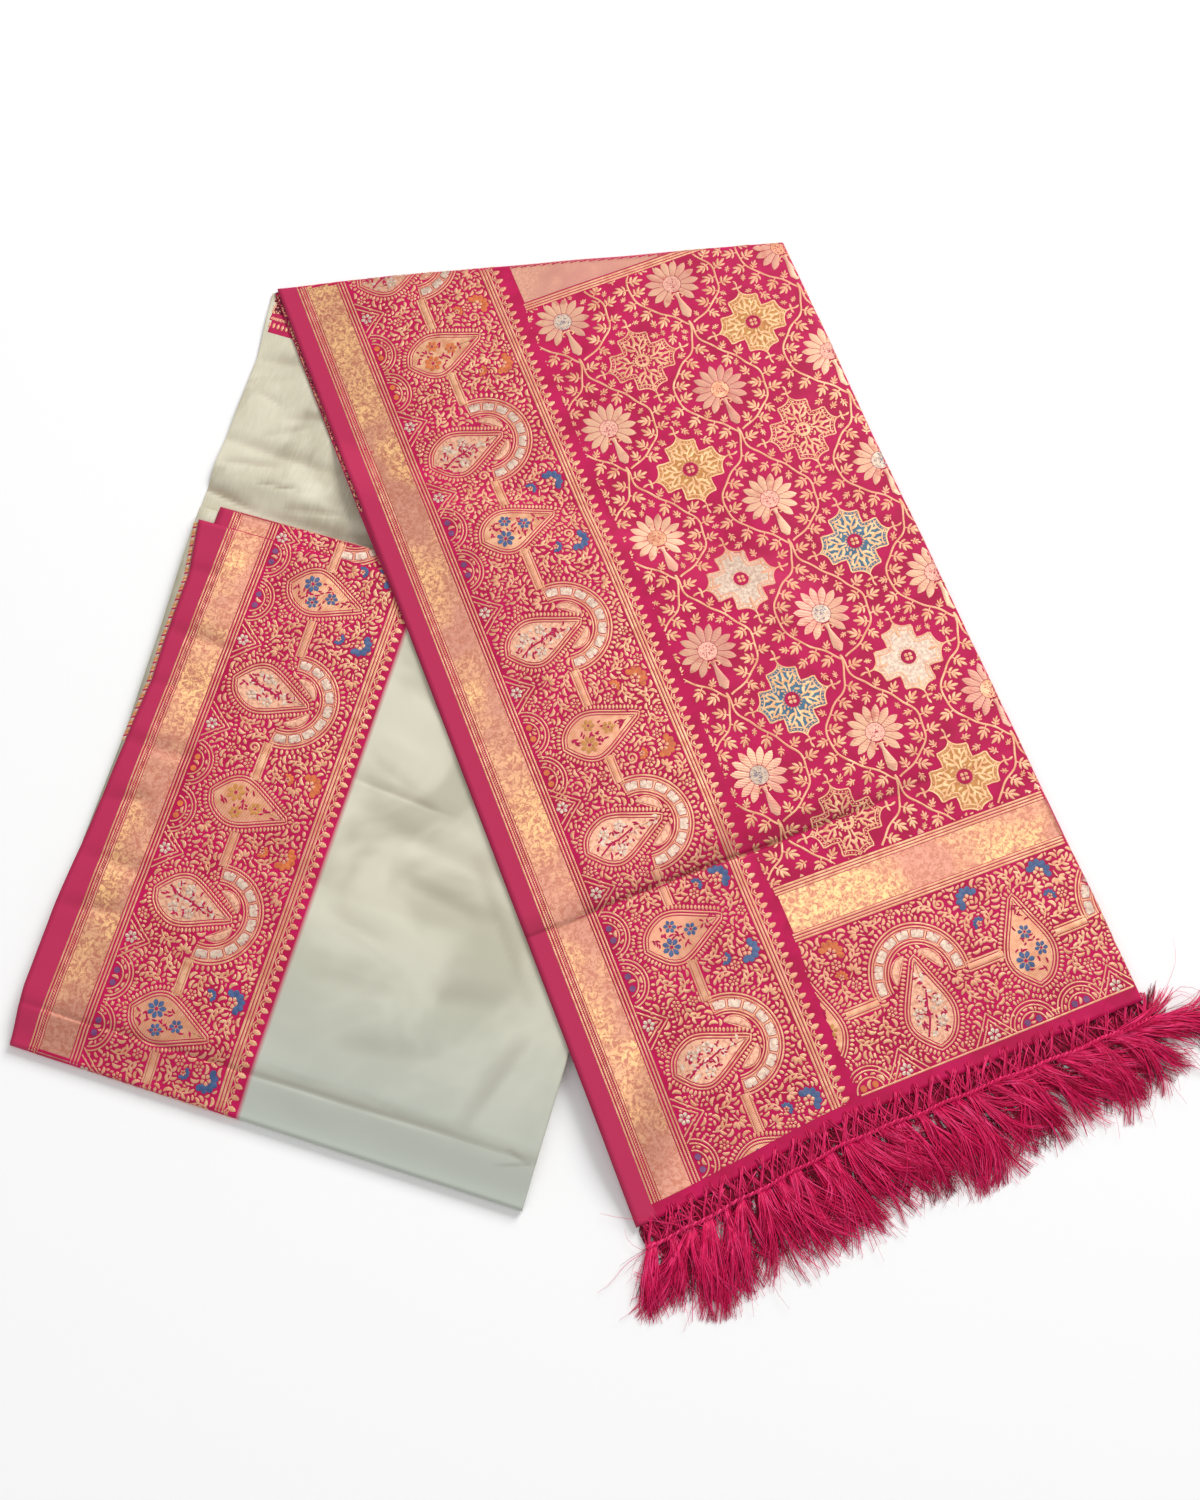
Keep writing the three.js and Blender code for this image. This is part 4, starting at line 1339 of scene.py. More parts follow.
def drop(cloth, place, corner, kind, rng):
    """Drop with a double outline and beads round it, on a ground of gold or silver, with cut
    sprigs, among pale leaves on silver, and three flowers."""
    silver = kind == "silver"
    loop = even_loop(DROP, 3.2) + corner
    middle = DROP_MIDDLE + corner
    cloth.field("silver" if silver else "gold", place(grow(loop, -1.9)), place(middle), 8)
    cloth.strips("gold", place(closed(loop)), 0.85)
    cloth.strips("gold", place(closed(grow(loop, 3.2))), 0.75)
    beads(cloth, "gold", place, grow(loop, 5.2), 3.9, 4.6, 3.0)
    inner = grow(loop, -7)
    share = rng.random((64, 2))
    spots = middle + (inner[(share[:, 0] * len(inner)).astype(int)] - middle) * share[:, 1:] ** 0.5
    heads = rng.uniform(0, 2 * np.pi, len(spots))
    clear = np.ones(len(spots), bool)
    if not silver:
        for at, radius, _ in DROP_FLOWERS:
            clear &= np.hypot(*(spots - corner - at).T) > radius + 1.5
    lengths = rng.uniform(3.6, 6.8, clear.sum())
    lines, halves = leaves(spots[clear], heads[clear], lengths, 2.1, 0.7)
    light = (np.arange(len(lines)) % 3 == 0) & silver
    cloth.strips("ground", place(lines[~light]), halves[~light], 0.3, 0.1)
    if silver:
        cloth.strips("pale", place(lines[light]), halves[light] * 1.6, 0.24, 0.1)
        cloth.strips("ground", place(smooth_line(DROP_STEM, 9) + corner), 1.0, 0.3, 0.1)
        for at, radius, petals in SILVER_FLOWERS:
            lines, halves = flower(radius, petals, turn=at[0])
            cloth.strips("pale", place(lines + corner + at), halves, 0.4, 0.15)
        return
    thread = "yellow" if kind == "gold" else kind
    for at, radius, petals in DROP_FLOWERS:
        lines, halves = flower(radius, petals, turn=at[0])
        cloth.strips(thread, place(lines + corner + at), halves, 0.3, 0.15)
        middle_ring = ring(radius * 0.2, step=60)[:-1] + corner + at
        cloth.field("ground", place(middle_ring), place(np.array(corner) + at), 1, 0.45)


ARCH_RADIUS = 41.4
ARCH_SPREAD = 98
# Radius and half width of its lines
ARCH_LINES = [(51.2, 0.9), (48.0, 0.8), (34.8, 0.8), (31.8, 0.7)]
# Thread, reach and step in degrees, half width, lift and crown of its blocks
ARCH_BLOCKS = [("ground", 9.6, 2.4, 4.9, 0.1, 0.0), ("pale", 8.5, 2, 4.35, 0.16, 0.3)]
# Thread, half width, lift and crown of the leaves inside
ARCH_LEAVES = [("gold", 5.6, 0.1, 0.0), ("ground", 4.4, 0.16, 0.0), ("silver", 3.7, 0.22, 0.3)]


def swell(count, start, power):
    """Shares that follow a sine, from near its start to as near its end, raised to a power."""
    return np.sin(np.linspace(start, np.pi - start, count)) ** power


def arch(cloth, place, centre):
    """Half ring open towards the selvage: pale blocks on gold between double lines, teeth round
    it and two long leaves inside."""
    whole = (-ARCH_SPREAD, ARCH_SPREAD)
    cloth.strips("gold", place(ring(ARCH_RADIUS, *whole, 4) + centre), 5.2, 0.06, 0.0)
    for radius, half in ARCH_LINES:
        cloth.strips("gold", place(ring(radius, *whole, 4) + centre), half)
    for angle in np.linspace(-86, 86, 9):
        for thread, reach, step, half, lift, crown in ARCH_BLOCKS:
            block = ring(ARCH_RADIUS, angle - reach, angle + reach, step) + centre
            cloth.strips(thread, place(block), half * swell(len(block), 0.7, 0.5), lift, crown)
        cleft = np.stack([ring(radius, angle, angle + 0.01)[0] for radius in (43.4, 46.6)])
        cloth.strips("ground", place(cleft + centre), 0.45, 0.34, 0.0)
    angles = np.radians(np.linspace(*whole, 34))
    way = np.stack([np.cos(angles), np.sin(angles)], axis=-1)
    lines, halves = leaves(way * 53 + centre, angles, 5.2, 3.4, 0.0, 4)
    cloth.strips("gold", place(lines), halves)
    for side in (-1, 1):
        inner = place(ring(24.6, side * 18, side * 88, 5) + centre)
        for thread, half, lift, crown in ARCH_LEAVES:
            cloth.strips(thread, inner, half * swell(len(inner), 0.08, 0.7), lift, crown)


def bar(cloth, place, x, start, end):
    """Straight bar of three lines that joins two motifs."""
    y = spread(start, end, 5)
    for off, half in ((-4.3, 0.9), (0, 2.9), (4.3, 0.9)):
        cloth.strips("gold", place(np.stack([np.full(len(y), x + off), y], axis=-1)), half)


def peak(cloth, place, y):
    """Pointed double line on the inner side of the band, with a pale flower in it."""
    for reach, wide in ((27, 23), (21, 16)):
        for side in (-1, 1):
            line = even_line([(0, side * wide), (reach * 0.6, side * wide * 0.36), (reach, 0)], 3)
            cloth.strips("gold", place(line + (0, y)), 0.75)
    lines, halves = flower(6.4, 6)
    cloth.strips("pale", place(lines + (6.5, y)), halves)
    beads(cloth, "gold", place, ring(29, -58, 58, 8) * (1, 0.95) + (1, y), 4.6, 4, 2.6)


def small_arch(cloth, place, y, dots):
    """Round double line on the band with two dots in it."""
    for radius in (25, 21, 14):
        cloth.strips("gold", place(ring(radius, -84, 84, 8) * (0.92, 1) + (0, y)), 0.75)
    for side in (-1, 1):
        spot = np.array([5.0, y + side * 6.4])
        cloth.field(dots, place(ring(3.3, step=40)[:-1] + spot), place(spot), 1, 0.3)
    teeth = np.radians(np.linspace(-76, 76, 12))
    start = np.stack([np.cos(teeth) * 25, np.sin(teeth) * 27], axis=-1) + (0, y)
    lines, halves = leaves(start, teeth, 4.4, 2.9, 0.0, 4)
    cloth.strips("gold", place(lines), halves)


def crescent(cloth, place, at, size, thread, side):
    """Coloured flower seen from the side: a fan of petals round half a gold one."""
    angle = side * 0.55 + np.linspace(-1.5, 1.5, 6)
    way = np.stack([np.cos(angle), np.sin(angle)], axis=-1)
    start = way * size * 0.46 + at
    lines, halves = leaves(start, angle, size * 0.68, size * 0.56, 0.3, 6, belly=1.3)
    cloth.strips(thread, place(lines), halves, 0.14)
    arc = ring(size * 0.58, math.degrees(side * 0.55) - 84, math.degrees(side * 0.55) + 84, 14)
    cloth.strips(thread, place(arc + at), size * 0.15, 0.12)
    lines, halves = flower(size * 0.5, 5)
    cloth.strips("gold", place(lines + at), halves, 0.2)


def border(cloth, place, rows, first, last, rng):
    """Drops in two kinds by turns. Each silver one has an arch at its tip and a peak on either
    side, each plain one has two small arches and coloured flowers, and bars join them all."""
    bars = []
    for y, kind in rows:
        if kind == "silver":
            drop(cloth, place, (14.0, y - 5.0), kind, rng)
            arch(cloth, place, (78.0, y + 3.0))
            peak(cloth, place, y - 47)
            peak(cloth, place, y + 49)
            bars += [y - 46, y + 52]
        else:
            drop(cloth, place, (33.0, y - 3.0), kind, rng)
            dots = "violet" if kind == "blue" else "orange"
            flowers = "blue" if kind == "blue" else "orange"
            small_arch(cloth, place, y - 26, dots)
            small_arch(cloth, place, y + 26, dots)
            for side, off in ((1, 43), (-1, -36)):
                crescent(cloth, place, (128.0, y + off), 11.5, flowers, side)
                crescent(cloth, place, (104.0, y + off), 6.0, flowers, side)
            bars += [y - 26, y + 32]
    bars = [first, *sorted(bars), last]
    for start, end in zip(bars[0::2], bars[1::2]):
        if end - start > 6:
            bar(cloth, place, 71.0, start, end)


# Straight parts of a side border: lines and limits by their distance across it
BAND_LINES = (-53.4, -50.2, -44.8, -9.0, -5.4, -2.0)
BAND_LIMITS = (-43.2, -11)
EDGE_LINES = (146.5, 150.0, 153.5)
LINE_LIFT = 0.2
TOOTH_PITCH = 11.0


def rules(cloth, place, places, y, half):
    """Straight gold lines along a border, at their distances across it."""
    for x in places:
        line = np.stack([np.full(len(y), x), y], axis=-1)
        cloth.strips("gold", place(line), half, LINE_LIFT)


def side_lines(cloth, place, first, last, pressed=None):
    """The straight parts of a side border: band, its lines, and the line of small leaves. Its rows
    lie closer together where a crease is pressed across it."""
    y = spread(first, last, 5)
    if pressed:
        y = np.unique(np.concatenate([y, spread(*pressed, 1.5)]))
    rules(cloth, place, BAND_LINES, y, 0.8)
    dashes = even_line(np.stack([np.full(len(y), -48.6), y], axis=-1), 2.6)
    lines, halves = leaves(dashes, 0.9, 3.2, 1.3, 0.0, 4)
    cloth.strips("gold", place(lines), halves)
    across = np.linspace(*BAND_LIMITS, 8)
    points = place(np.stack(np.meshgrid(across, y), axis=-1).reshape(-1, 2))
    faces = grid_faces(len(y), len(across))
    corner = points[faces[0]]
    turn = np.cross(corner[1] - corner[0], corner[2] - corner[1])
    faces = faces if turn > 0 else faces[:, ::-1]
    cloth.gather("band", points, np.full(len(points), LINE_LIFT), faces)
    rules(cloth, place, EDGE_LINES, y, 1.15)
    fine = spread(first, last, 2.2)
    scallop = 156.8 + 1.4 * np.sin(fine * 2 * np.pi / TOOTH_PITCH)
    cloth.strips("gold", place(np.stack([scallop, fine], axis=-1)), 0.6)
    teeth = np.arange(first + 4, last - 2, TOOTH_PITCH)
    root = np.stack([np.full(len(teeth), 157.6), teeth], axis=-1)
    lines, halves = leaves(root, 0.12, 8.6, 5.2, 0.2, 6, belly=0.8)
    cloth.strips("gold", place(lines), halves)
    for lean in (-0.9, 0.9):
        lines, halves = leaves(root + (-0.5, 4.6 * np.sign(lean)), lean, 4.2, 1.8, 0.0, 4)
        cloth.strips("gold", place(lines), halves)


# Ground between the motifs

def curl_stamp():
    """Spiral whose radius shrinks evenly over a turn and a quarter, with leaves on it."""
    angle = np.linspace(0, 2.5 * np.pi, 14)
    radius = np.linspace(5.8, 2.2, 14)
    spiral = np.stack([np.cos(angle) * radius, np.sin(angle) * radius], axis=-1)
    half = np.linspace(1.3, 1.0, 14)
    at = np.array([[6.8, 0.0], [6.4, -4.8], [2.0, -8.4], [-4.0, -8.2]])
    outer = leaves(at, np.array([-0.9, -1.6, -2.3, -2.9]), 6.0, 3.8, -0.7)
    return [(spiral[None], half[None]), outer, leaves(np.array([[-1.2, 0.6]]), 0.2, 3.4, 2.6, 0.4)]


def acanthus_stamp():
    """Bent stalk with comma leaves on both sides by turns and one at its end."""
    along = np.array([2.0, 5.5, 9.0, 12.5, 16.0])
    start = np.stack([along - 9, 0.05 * (along - 9) ** 2], axis=-1)
    side = np.array([1, -1, 1, -1, 1])
    lean = 0.1 * (along - 9) + side * 0.95
    stalk = smooth_line([(-10, 5.0), (-5, 1.25), (0, 0), (5, 1.25), (9.5, 4.5)], 10)
    return [
        leaves(start, lean, np.array([7.8, 7.8, 7.8, 7.2, 6.6]), 3.4, -0.9 * side, 6, belly=0.85),
        (stalk[None], np.full((1, 10), 0.8)), leaves(np.array([[9.0, 4.2]]), 0.9, 6.5, 3.4, 0.5),
    ]


def rosette_stamp():
    """Six petals round a small leaf."""
    return [flower(5.4, 6, core=0.36), leaves(np.array([[-1.0, 0.0]]), 0.0, 2.0, 2.0, 0.0, 5)]


def spray_stamp():
    """Fan of five leaves on a stalk."""
    heading = np.array([-1.15, -0.6, 0.0, 0.6, 1.15])
    start = np.stack([np.cos(heading) * 2.4, np.sin(heading) * 2.4], axis=-1)
    fan = leaves(start, heading, np.array([6.6, 7.6, 8.6, 7.6, 6.6]), 3.9, 0.35)
    return [fan, leaves(np.array([[-7.0, 0.6]]), 0.0, 8.6, 1.5, 0.4)]


def single_stamp(length, width, curl, count=5):
    """One leaf, centred on the origin."""
    return [leaves(np.array([[-length / 2, 0.0]]), 0.0, length, width, curl, count)]


def stamp_cells(stamp, angle, margin, cell):
    """Cells that a stamp covers when it is turned: places across every ribbon, between stations
    as well."""
    found = []
    for lines, halves in stamp:
        fine = np.linspace(0, lines.shape[1] - 1, lines.shape[1] * 4)
        low = np.minimum(fine.astype(int), lines.shape[1] - 2)
        t = fine - low
        path = lines[:, low] * (1 - t)[None, :, None] + lines[:, low + 1] * t[None, :, None]
        half = halves[:, low] * (1 - t) + halves[:, low + 1] * t + margin
        side = left_of(unit(np.gradient(path, axis=1)))
        reach = np.linspace(-1, 1, 9)
        spots = path[:, :, None] + side[:, :, None] * (half[..., None] * reach)[..., None]
        found.append(turned(spots.reshape(-1, 2), angle))
    return np.unique(np.round(np.concatenate(found) / cell).astype(int), axis=0)


HEADINGS = 32
CELL = 0.6


def pack(cloth, thread, covered, low, cell, stamp, tries, rng, margin=0.26):
    """Sets a stamp on free ground wherever all of its cells are free, and takes them."""
    cells = [stamp_cells(stamp, k * 2 * np.pi / HEADINGS, margin, cell) for k in range(HEADINGS)]
    free = np.flatnonzero(~covered.ravel())
    chosen = rng.choice(free, tries)
    row, column = np.divmod(chosen, covered.shape[1])
    flow = 3.1 * np.sin(column * cell / 16.0) + 2.6 * np.cos(row * cell / 19.0)
    turns = (flow + rng.normal(0, 0.7, tries)) / (2 * np.pi)
    heading = np.floor(turns * HEADINGS).astype(int) % HEADINGS
    kept = []
    for place in range(tries):
        own = cells[heading[place]]
        at_row = own[:, 1] + row[place]
        at_column = own[:, 0] + column[place]
        if covered[at_row, at_column].any():
            continue
        covered[at_row, at_column] = True
        kept.append(place)
    if not kept:
        return
    angle = heading[kept] * 2 * np.pi / HEADINGS
    c, s = np.cos(angle)[:, None, None], np.sin(angle)[:, None, None]
    centre = np.stack([column[kept], row[kept]], axis=-1) * cell + low + cell / 2
    for lines, halves in stamp:
        x, y = lines[None, ..., 0], lines[None, ..., 1]
        moved = np.stack([x * c - y * s, x * s + y * c], axis=-1) + centre[:, None, None, :]
        count = len(kept) * lines.shape[0]
        cloth.strips(
            thread, moved.reshape(count, -1, 2),
            np.broadcast_to(halves[None], (len(kept), *halves.shape)).reshape(count, -1),
        )


def close_edges(covered, edge):
    """Takes a rim of cells, so that no stamp reaches past the sheet."""
    covered[:edge] = covered[-edge:] = True
    covered[:, :edge] = covered[:, -edge:] = True


def fill_ground(cloth, low, size, zone, rng, tries):
    """Dense leaves, curls and rosettes on whatever ground of a zone is free."""
    covered = cloth.taken(low, size, CELL, 0.0)
    rows, columns = covered.shape
    across = low[0] + (np.arange(columns) + 0.5) * CELL
    along = low[1] + (np.arange(rows) + 0.5) * CELL
    covered |= ~zone(*np.meshgrid(across, along))
    close_edges(covered, 20)
    for stamp, share in (
        (acanthus_stamp(), 0.3), (curl_stamp(), 0.25), (spray_stamp(), 0.4), (rosette_stamp(), 0.1),
        (single_stamp(10.4, 3.7, 1.9, 7), 1.2), (single_stamp(7.8, 3.3, 1.5, 6), 1.6),
        (single_stamp(5.6, 2.8, 1.1), 2.2), (single_stamp(3.8, 2.2, 0.6, 4), 2.2),
    ):
        pack(cloth, "leaves", covered, low, CELL, stamp, int(tries * share), rng)


# Open field of the end piece

PETAL_PLACES = [0, 0.3, 0.6, 0.82, 1]
PETAL_HALVES = [2.0, 3.3, 4.4, 3.1, 0.3]
STEM_PLACES = [0, 3, 8, 10, 13]
STEM_HALVES = [2.8, 1.7, 5.0, 5.8, 1.6]
SEPAL = [(1.5, -12), (5.5, -14), (6.6, -17.5), (4, -18)]


def sunflower(cloth, at, disc, rng):
    """Sunflower on a club-shaped stem: one row of pointed petals round a disc, open at the stem."""
    angle = -np.pi / 2 + np.linspace(0.6, 2 * np.pi - 0.6, 13)
    start = np.stack([np.cos(angle), np.sin(angle)], axis=-1) * 10.6 + at
    lines, _ = leaves(start, angle, 20.0, 1.0, 0.0, 8)
    halves = np.interp(np.linspace(0, 1, 8), PETAL_PLACES, PETAL_HALVES)
    cloth.strips("petals", lines, halves, 0.12, 0.18)
    cloth.field(disc, ring(10.2, step=18)[:-1] + at, at, 3, 0.18)
    spots = at + rng.normal(0, 1, (26, 2)) * (4.4, 4.4)
    lines, halves = leaves(spots, rng.uniform(0, 6, 26), 1.8, 0.9, 0.0, 3)
    cloth.strips("blue" if disc == "pale" else "ground", lines, halves, 0.3, 0.1)
    stem = smooth_line([(0.3, -12), (0.8, -20), (1.6, -30), (2.6, -39), (3.0, -46)], 14) + at
    cloth.strips("petals", stem, np.interp(np.arange(14), STEM_PLACES, STEM_HALVES), 0.2)
    for side in (-1, 1):
        sepal = smooth_line(np.multiply(SEPAL, (side, 1)), 7)
        cloth.strips("gold", sepal + at, 0.9, 0.3)


def quarter_star():
    """Outline of the medallion: four arms with pointed tips, shoulders and notches between."""
    part = np.array([
        (41.5, 0), (37.5, 2.0), (34.6, 6), (33, 11), (32.4, 17.6), (24.5, 16.2), (16.6, 16.6),
        (16.2, 24.5), (17.6, 32.4), (11, 33), (6, 34.6), (2.0, 37.5),
    ])
    return np.concatenate([turned(part, k * np.pi / 2) for k in range(4)])


STAR = quarter_star()
SCROLL = [(10, 1.5), (17, 2.6), (23, 7.5), (26, 11.5), (22.5, 13), (20, 10)]
SCROLL_ROOTS = [(14.0, 2.2), (18.5, 3.6), (22.5, 7.0), (15.0, 6.5)]
TIP_ROOTS = [(46.0, 0.6), (46.0, 0.6), (50.0, 0.0)]


def medallion(kind, rng):
    """Star with a dotted double outline, a rosette in a ring, scrolls and leaves in every arm and
    a small sprig beyond every tip. It has a ground of its own, or none where kind is outline."""
    cloth = Brocade(None, None)
    heart = (0, 0)
    loop = even_loop(STAR, 3.4)
    if kind != "outline":
        cloth.field(kind, grow(loop, -0.6), heart, 9, 0.05)
    thread = "bright" if kind in ("yellow", "teal") else "gold"
    cloth.strips(thread, closed(loop), 0.85)
    inner = grow(loop, -4.6)
    cloth.strips(thread, closed(inner), 0.75)
    dots = even_loop(grow(loop, -2.3), 3.6)
    lines, halves = leaves(dots - (0.9, 0), 0.0, 1.9, 1.7, 0.0, 3)
    cloth.strips("gold", lines, halves, 0.16)
    for k in range(4):
        angle = k * np.pi / 2
        for side in (-1, 1):
            scroll = smooth_line(np.multiply(SCROLL, (1, side)), 12)
            root = np.multiply(SCROLL_ROOTS, (1, side))
            heading = np.array([side * 1.3, side * -0.5, side * -0.1, side * 0.9])
            lines, halves = leaves(root, heading, np.array([7.5, 8.0, 7.5, 6.5]), 3.4, side * 0.8)
            if kind != "pale":
                cloth.strips(thread, turned(scroll, angle), 1.0, 0.18)
                cloth.strips(thread, turned(lines, angle), halves, 0.18)
        lines, halves = leaves(np.array([[23.0, 0.0]]), 0.0, 9.5, 3.2, 0.0)
        cloth.strips(thread, turned(lines, angle), halves, 0.18)
        tip = [(41, 0), (46, 0.8), (51.0, -0.4)]
        cloth.strips("gold", turned(smooth_line(tip, 6), angle), 0.85)
        lines, halves = leaves(TIP_ROOTS, np.array([-1.4, 1.4, 0.2]), 6.4, 2.7, 0.5)
        cloth.strips("gold", turned(lines, angle), halves)
    under, over = ("gold", "ground") if kind == "outline" else ("ground", "gold")
    cloth.field(under, ring(8.4, step=24)[:-1], heart, 2, 0.3)
    lines, halves = flower(5.0, 4, core=0.2, turn=0.7)
    cloth.strips(over, lines, halves, 0.45)
    beads(cloth, "gold", lambda points: points, ring(8.6, step=20)[:-1], 3.0, 2.2, 2.0)
    if kind == "pale":
        return cloth
    low, cell, reach = np.array([-60.0, -60.0]), 0.5, 120
    ground = cloth.parts.pop(kind, None)
    covered = cloth.taken(low, (reach, reach), cell, 0.0)
    if ground:
        cloth.parts[kind] = ground
    middle = low[0] + (np.arange(covered.shape[0]) + 0.5) * cell
    x, y = np.meshgrid(middle, middle)
    bearing = np.arctan2(inner[:, 1], inner[:, 0])
    inner = inner[bearing.argsort()]
    bearing.sort()
    limit = np.interp(np.arctan2(y, x), bearing, np.hypot(*inner.T), period=2 * np.pi)
    covered |= np.hypot(x, y) > limit - 0.6
    for length, width, tries in ((6.0, 2.8, 1200), (4.4, 2.3, 700)):
        pack(cloth, thread, covered, low, cell, single_stamp(length, width, 0.9), tries, rng, 0.55)
    return cloth


def set_pattern(cloth, pattern, at):
    """Copies a finished pattern onto a cloth at a place."""
    for thread, parts in pattern.parts.items():
        for points, lifts, faces in parts:
            cloth.gather(thread, points + at, lifts, faces - faces.min())


def sprig_stamp(size):
    """Leaf of five lobes on a short stalk, with its root at the origin."""
    lean, along, length, width = np.array([
        (0.0, 9.4, 9.2, 3.5), (0.66, 7.0, 8.8, 3.1), (-0.66, 7.0, 8.8, 3.1), (1.2, 4.4, 7.0, 2.8),
        (-1.2, 4.4, 7.0, 2.8),
    ]).T
    start = np.stack([along, np.zeros(5)], axis=-1) * size
    fan = leaves(start, lean, length * size, width * size, -0.45 * np.sign(lean), 6)
    stalk = np.stack([np.linspace(0, 10 * size, 5), np.zeros(5)], axis=-1)
    return [fan, (stalk[None], np.array([[0.9, 0.75, 0.65, 0.6, 0.5]]))]


def set_sprigs(cloth, covered, low, cell, roots, headings):
    """Sets a sprig at every root, as large and as near its own heading as free ground allows."""
    choices = [
        (sprig_stamp(size), lean)
        for size in (1.0, 0.84, 0.66) for lean in (0, 0.35, -0.35, 0.7, -0.7)
    ]
    for root, heading in zip(roots, headings):
        place = np.round((root - low) / cell).astype(int)
        for stamp, lean in choices:
            cells = stamp_cells(stamp[:1], heading + lean, 0.75, cell) + place
            if covered[cells[:, 1], cells[:, 0]].any():
                continue
            covered[cells[:, 1], cells[:, 0]] = True
            for lines, halves in stamp:
                cloth.strips("gold", turned(lines, heading + lean) + root, halves)
            break


# First sunflower and medallion at the top left, with their spacing down and across the field
FIRST_SUNFLOWER = (285.0, 929)
FIRST_MEDALLION = (350.0, 851)
SUNFLOWER_PITCH = 132
VINE_PITCH = 142
VINE_STEP = 3.1
COLUMN_PITCH = 134
FIELD_LOW = np.array([180.0, 160.0])
FIELD_SIZE = (480, 880)
VINES = [
    [(-2.6, 142), (-7, 120), (-17, 103), (-39, 86), (-52, 61), (-43, 34), (-21, 14), (-3, -4)],
    [(-2.6, 142), (1.2, 115), (25, 87), (46, 57), (45.5, 32), (36, 15.5), (15, 1.4), (2, -4)],
]


def field(cloth, rng):
    """Jaal: every sunflower in a drop of two vines that part above it and meet under its stem, a
    medallion between the drops, and leaf sprigs along both sides of the vines."""
    discs = ["pale", "rose", "gold", "rose"]
    kinds = [
        ["outline", "yellow", "pale", "teal", "outline"],
        ["yellow", "outline", "teal", "pale", "yellow"],
    ]
    paths = []
    for i in range(3):
        for j in range(6):
            centre = np.array([SUNFLOWER_PITCH * i, -VINE_PITCH * j]) + FIRST_SUNFLOWER
            sunflower(cloth, centre, discs[(i + j) % 4], rng)
            for vine in VINES:
                path = even_line(smooth_line(vine, 60) + centre + (3, -50), VINE_STEP)
                side = left_of(np.gradient(path, axis=0)) / VINE_STEP
                paths.append(path + side * (0.8 * np.sin(np.arange(len(path)) * 0.62))[:, None])
    stars = {kind: medallion(kind, rng) for kind in ("outline", "yellow", "pale", "teal")}
    for i in range(2):
        for j in range(5):
            at = np.array([COLUMN_PITCH * i, -VINE_PITCH * j]) + FIRST_MEDALLION
            set_pattern(cloth, stars[kinds[i][j]], at)
    covered = cloth.taken(FIELD_LOW, FIELD_SIZE, CELL, CELL)
    for path in paths:
        cloth.strips("gold", path, 1.1)
    vines = Brocade(cloth.surface, cloth.inside)
    for path in paths:
        vines.strips("gold", path, 1.25)
    covered |= vines.taken(FIELD_LOW, FIELD_SIZE, CELL, 0.0)
    close_edges(covered, 40)
    roots, headings = [], []
    for path in paths:
        node = np.arange(2, len(path) - 2, 3)
        way = path[node - 1] - path[node + 1]
        side = np.where(np.arange(len(node)) % 2 == 0, 1.0, -1.0)
        roots.append(path[node])
        headings.append(np.arctan2(way[:, 1], way[:, 0]) + side * 1.05)
    roots, headings = np.concatenate(roots), np.concatenate(headings)
    inside = np.all((roots > (240, 235)) & (roots < (580, 975)), axis=1)
    set_sprigs(cloth, covered, FIELD_LOW, CELL, roots[inside], headings[inside])
    for size, tries in ((0.8, 4000), (0.6, 6000), (0.45, 6000)):
        pack(cloth, "gold", covered, FIELD_LOW, CELL, sprig_stamp(size), tries, rng, 0.9)


def cross_lines(cloth, v_of_u, u_low, u_high, offsets, half=1.1):
    """Gold lines across the cloth, each an offset from a line that gives v against u."""
    u = spread(u_low, u_high, 4)
    for off in offsets:
        cloth.strips("gold", np.stack([u, v_of_u(u) + off], axis=-1), half)


def cross_band(cloth, low_of_u, high_of_u, u_low, u_high, rows, thread="band"):
    """Band across the cloth: even shares of the way between two lines."""
    u = spread(u_low, u_high, 5)
    share = np.linspace(0, 1, rows)[:, None]
    v = low_of_u(u)[None] * (1 - share) + high_of_u(u)[None] * share
    points = np.stack([np.broadcast_to(u, v.shape), v], axis=-1).reshape(-1, 2)
    cloth.gather(thread, points, np.full(len(points), 0.12), grid_faces(rows, len(u)))


# Brocade on each cloth

# Start of each side border across its cloth, the ground between its motifs, and where a crease is
# pressed across it, by the border's own length
PALLU_BORDER_AT = 75
PALLU_GROUND = (76.5, 219.5)
PALLU_PRESSED = (262, 316)
PACKET_BORDER_AT = 70
PACKET_GROUND = (71.5, 212.5)
PACKET_PRESSED = (-76, -26)
SLIVER = (-44, 30)


def between(value, limits):
    """Whether a value lies between two limits."""
    return (value > limits[0]) & (value < limits[1])


def band_edge(u):
    """Upper edge of the cross band near the hem, which sinks a little towards the right."""
    return 246 - 0.02 * (u - FIELD_START)


def past_top(u, v):
    """Distance past the start of the slanting fold, square to it."""
    return (v - (top_line(u) - PALLU_TOP_INSET)) * TOP_NORMAL[1]


def on_pallu(points):
    """What lies on the end piece and not far over either fold."""
    u, v = points[:, 0], points[:, 1]
    return between(u, (1, PALLU_RIGHT_START + 14)) & (past_top(u, v) < 17)


def past_side(points):
    """The same to the right of the side border."""
    return on_pallu(points) & (points[:, 0] > FIELD_START)


def hem_edge(points):
    """Places below the hem's edge moved up to it."""
    low = hem_lift(points[:, 0], 0.0) + 0.8
    return np.stack([points[:, 0], np.maximum(points[:, 1], low)], axis=-1)


def packet_edge(points):
    """Places past the top edge of the packet's top stretch moved back to it."""
    return np.stack([points[:, 0], np.minimum(points[:, 1], FACE_TOP_ALONG - 0.2)], axis=-1)


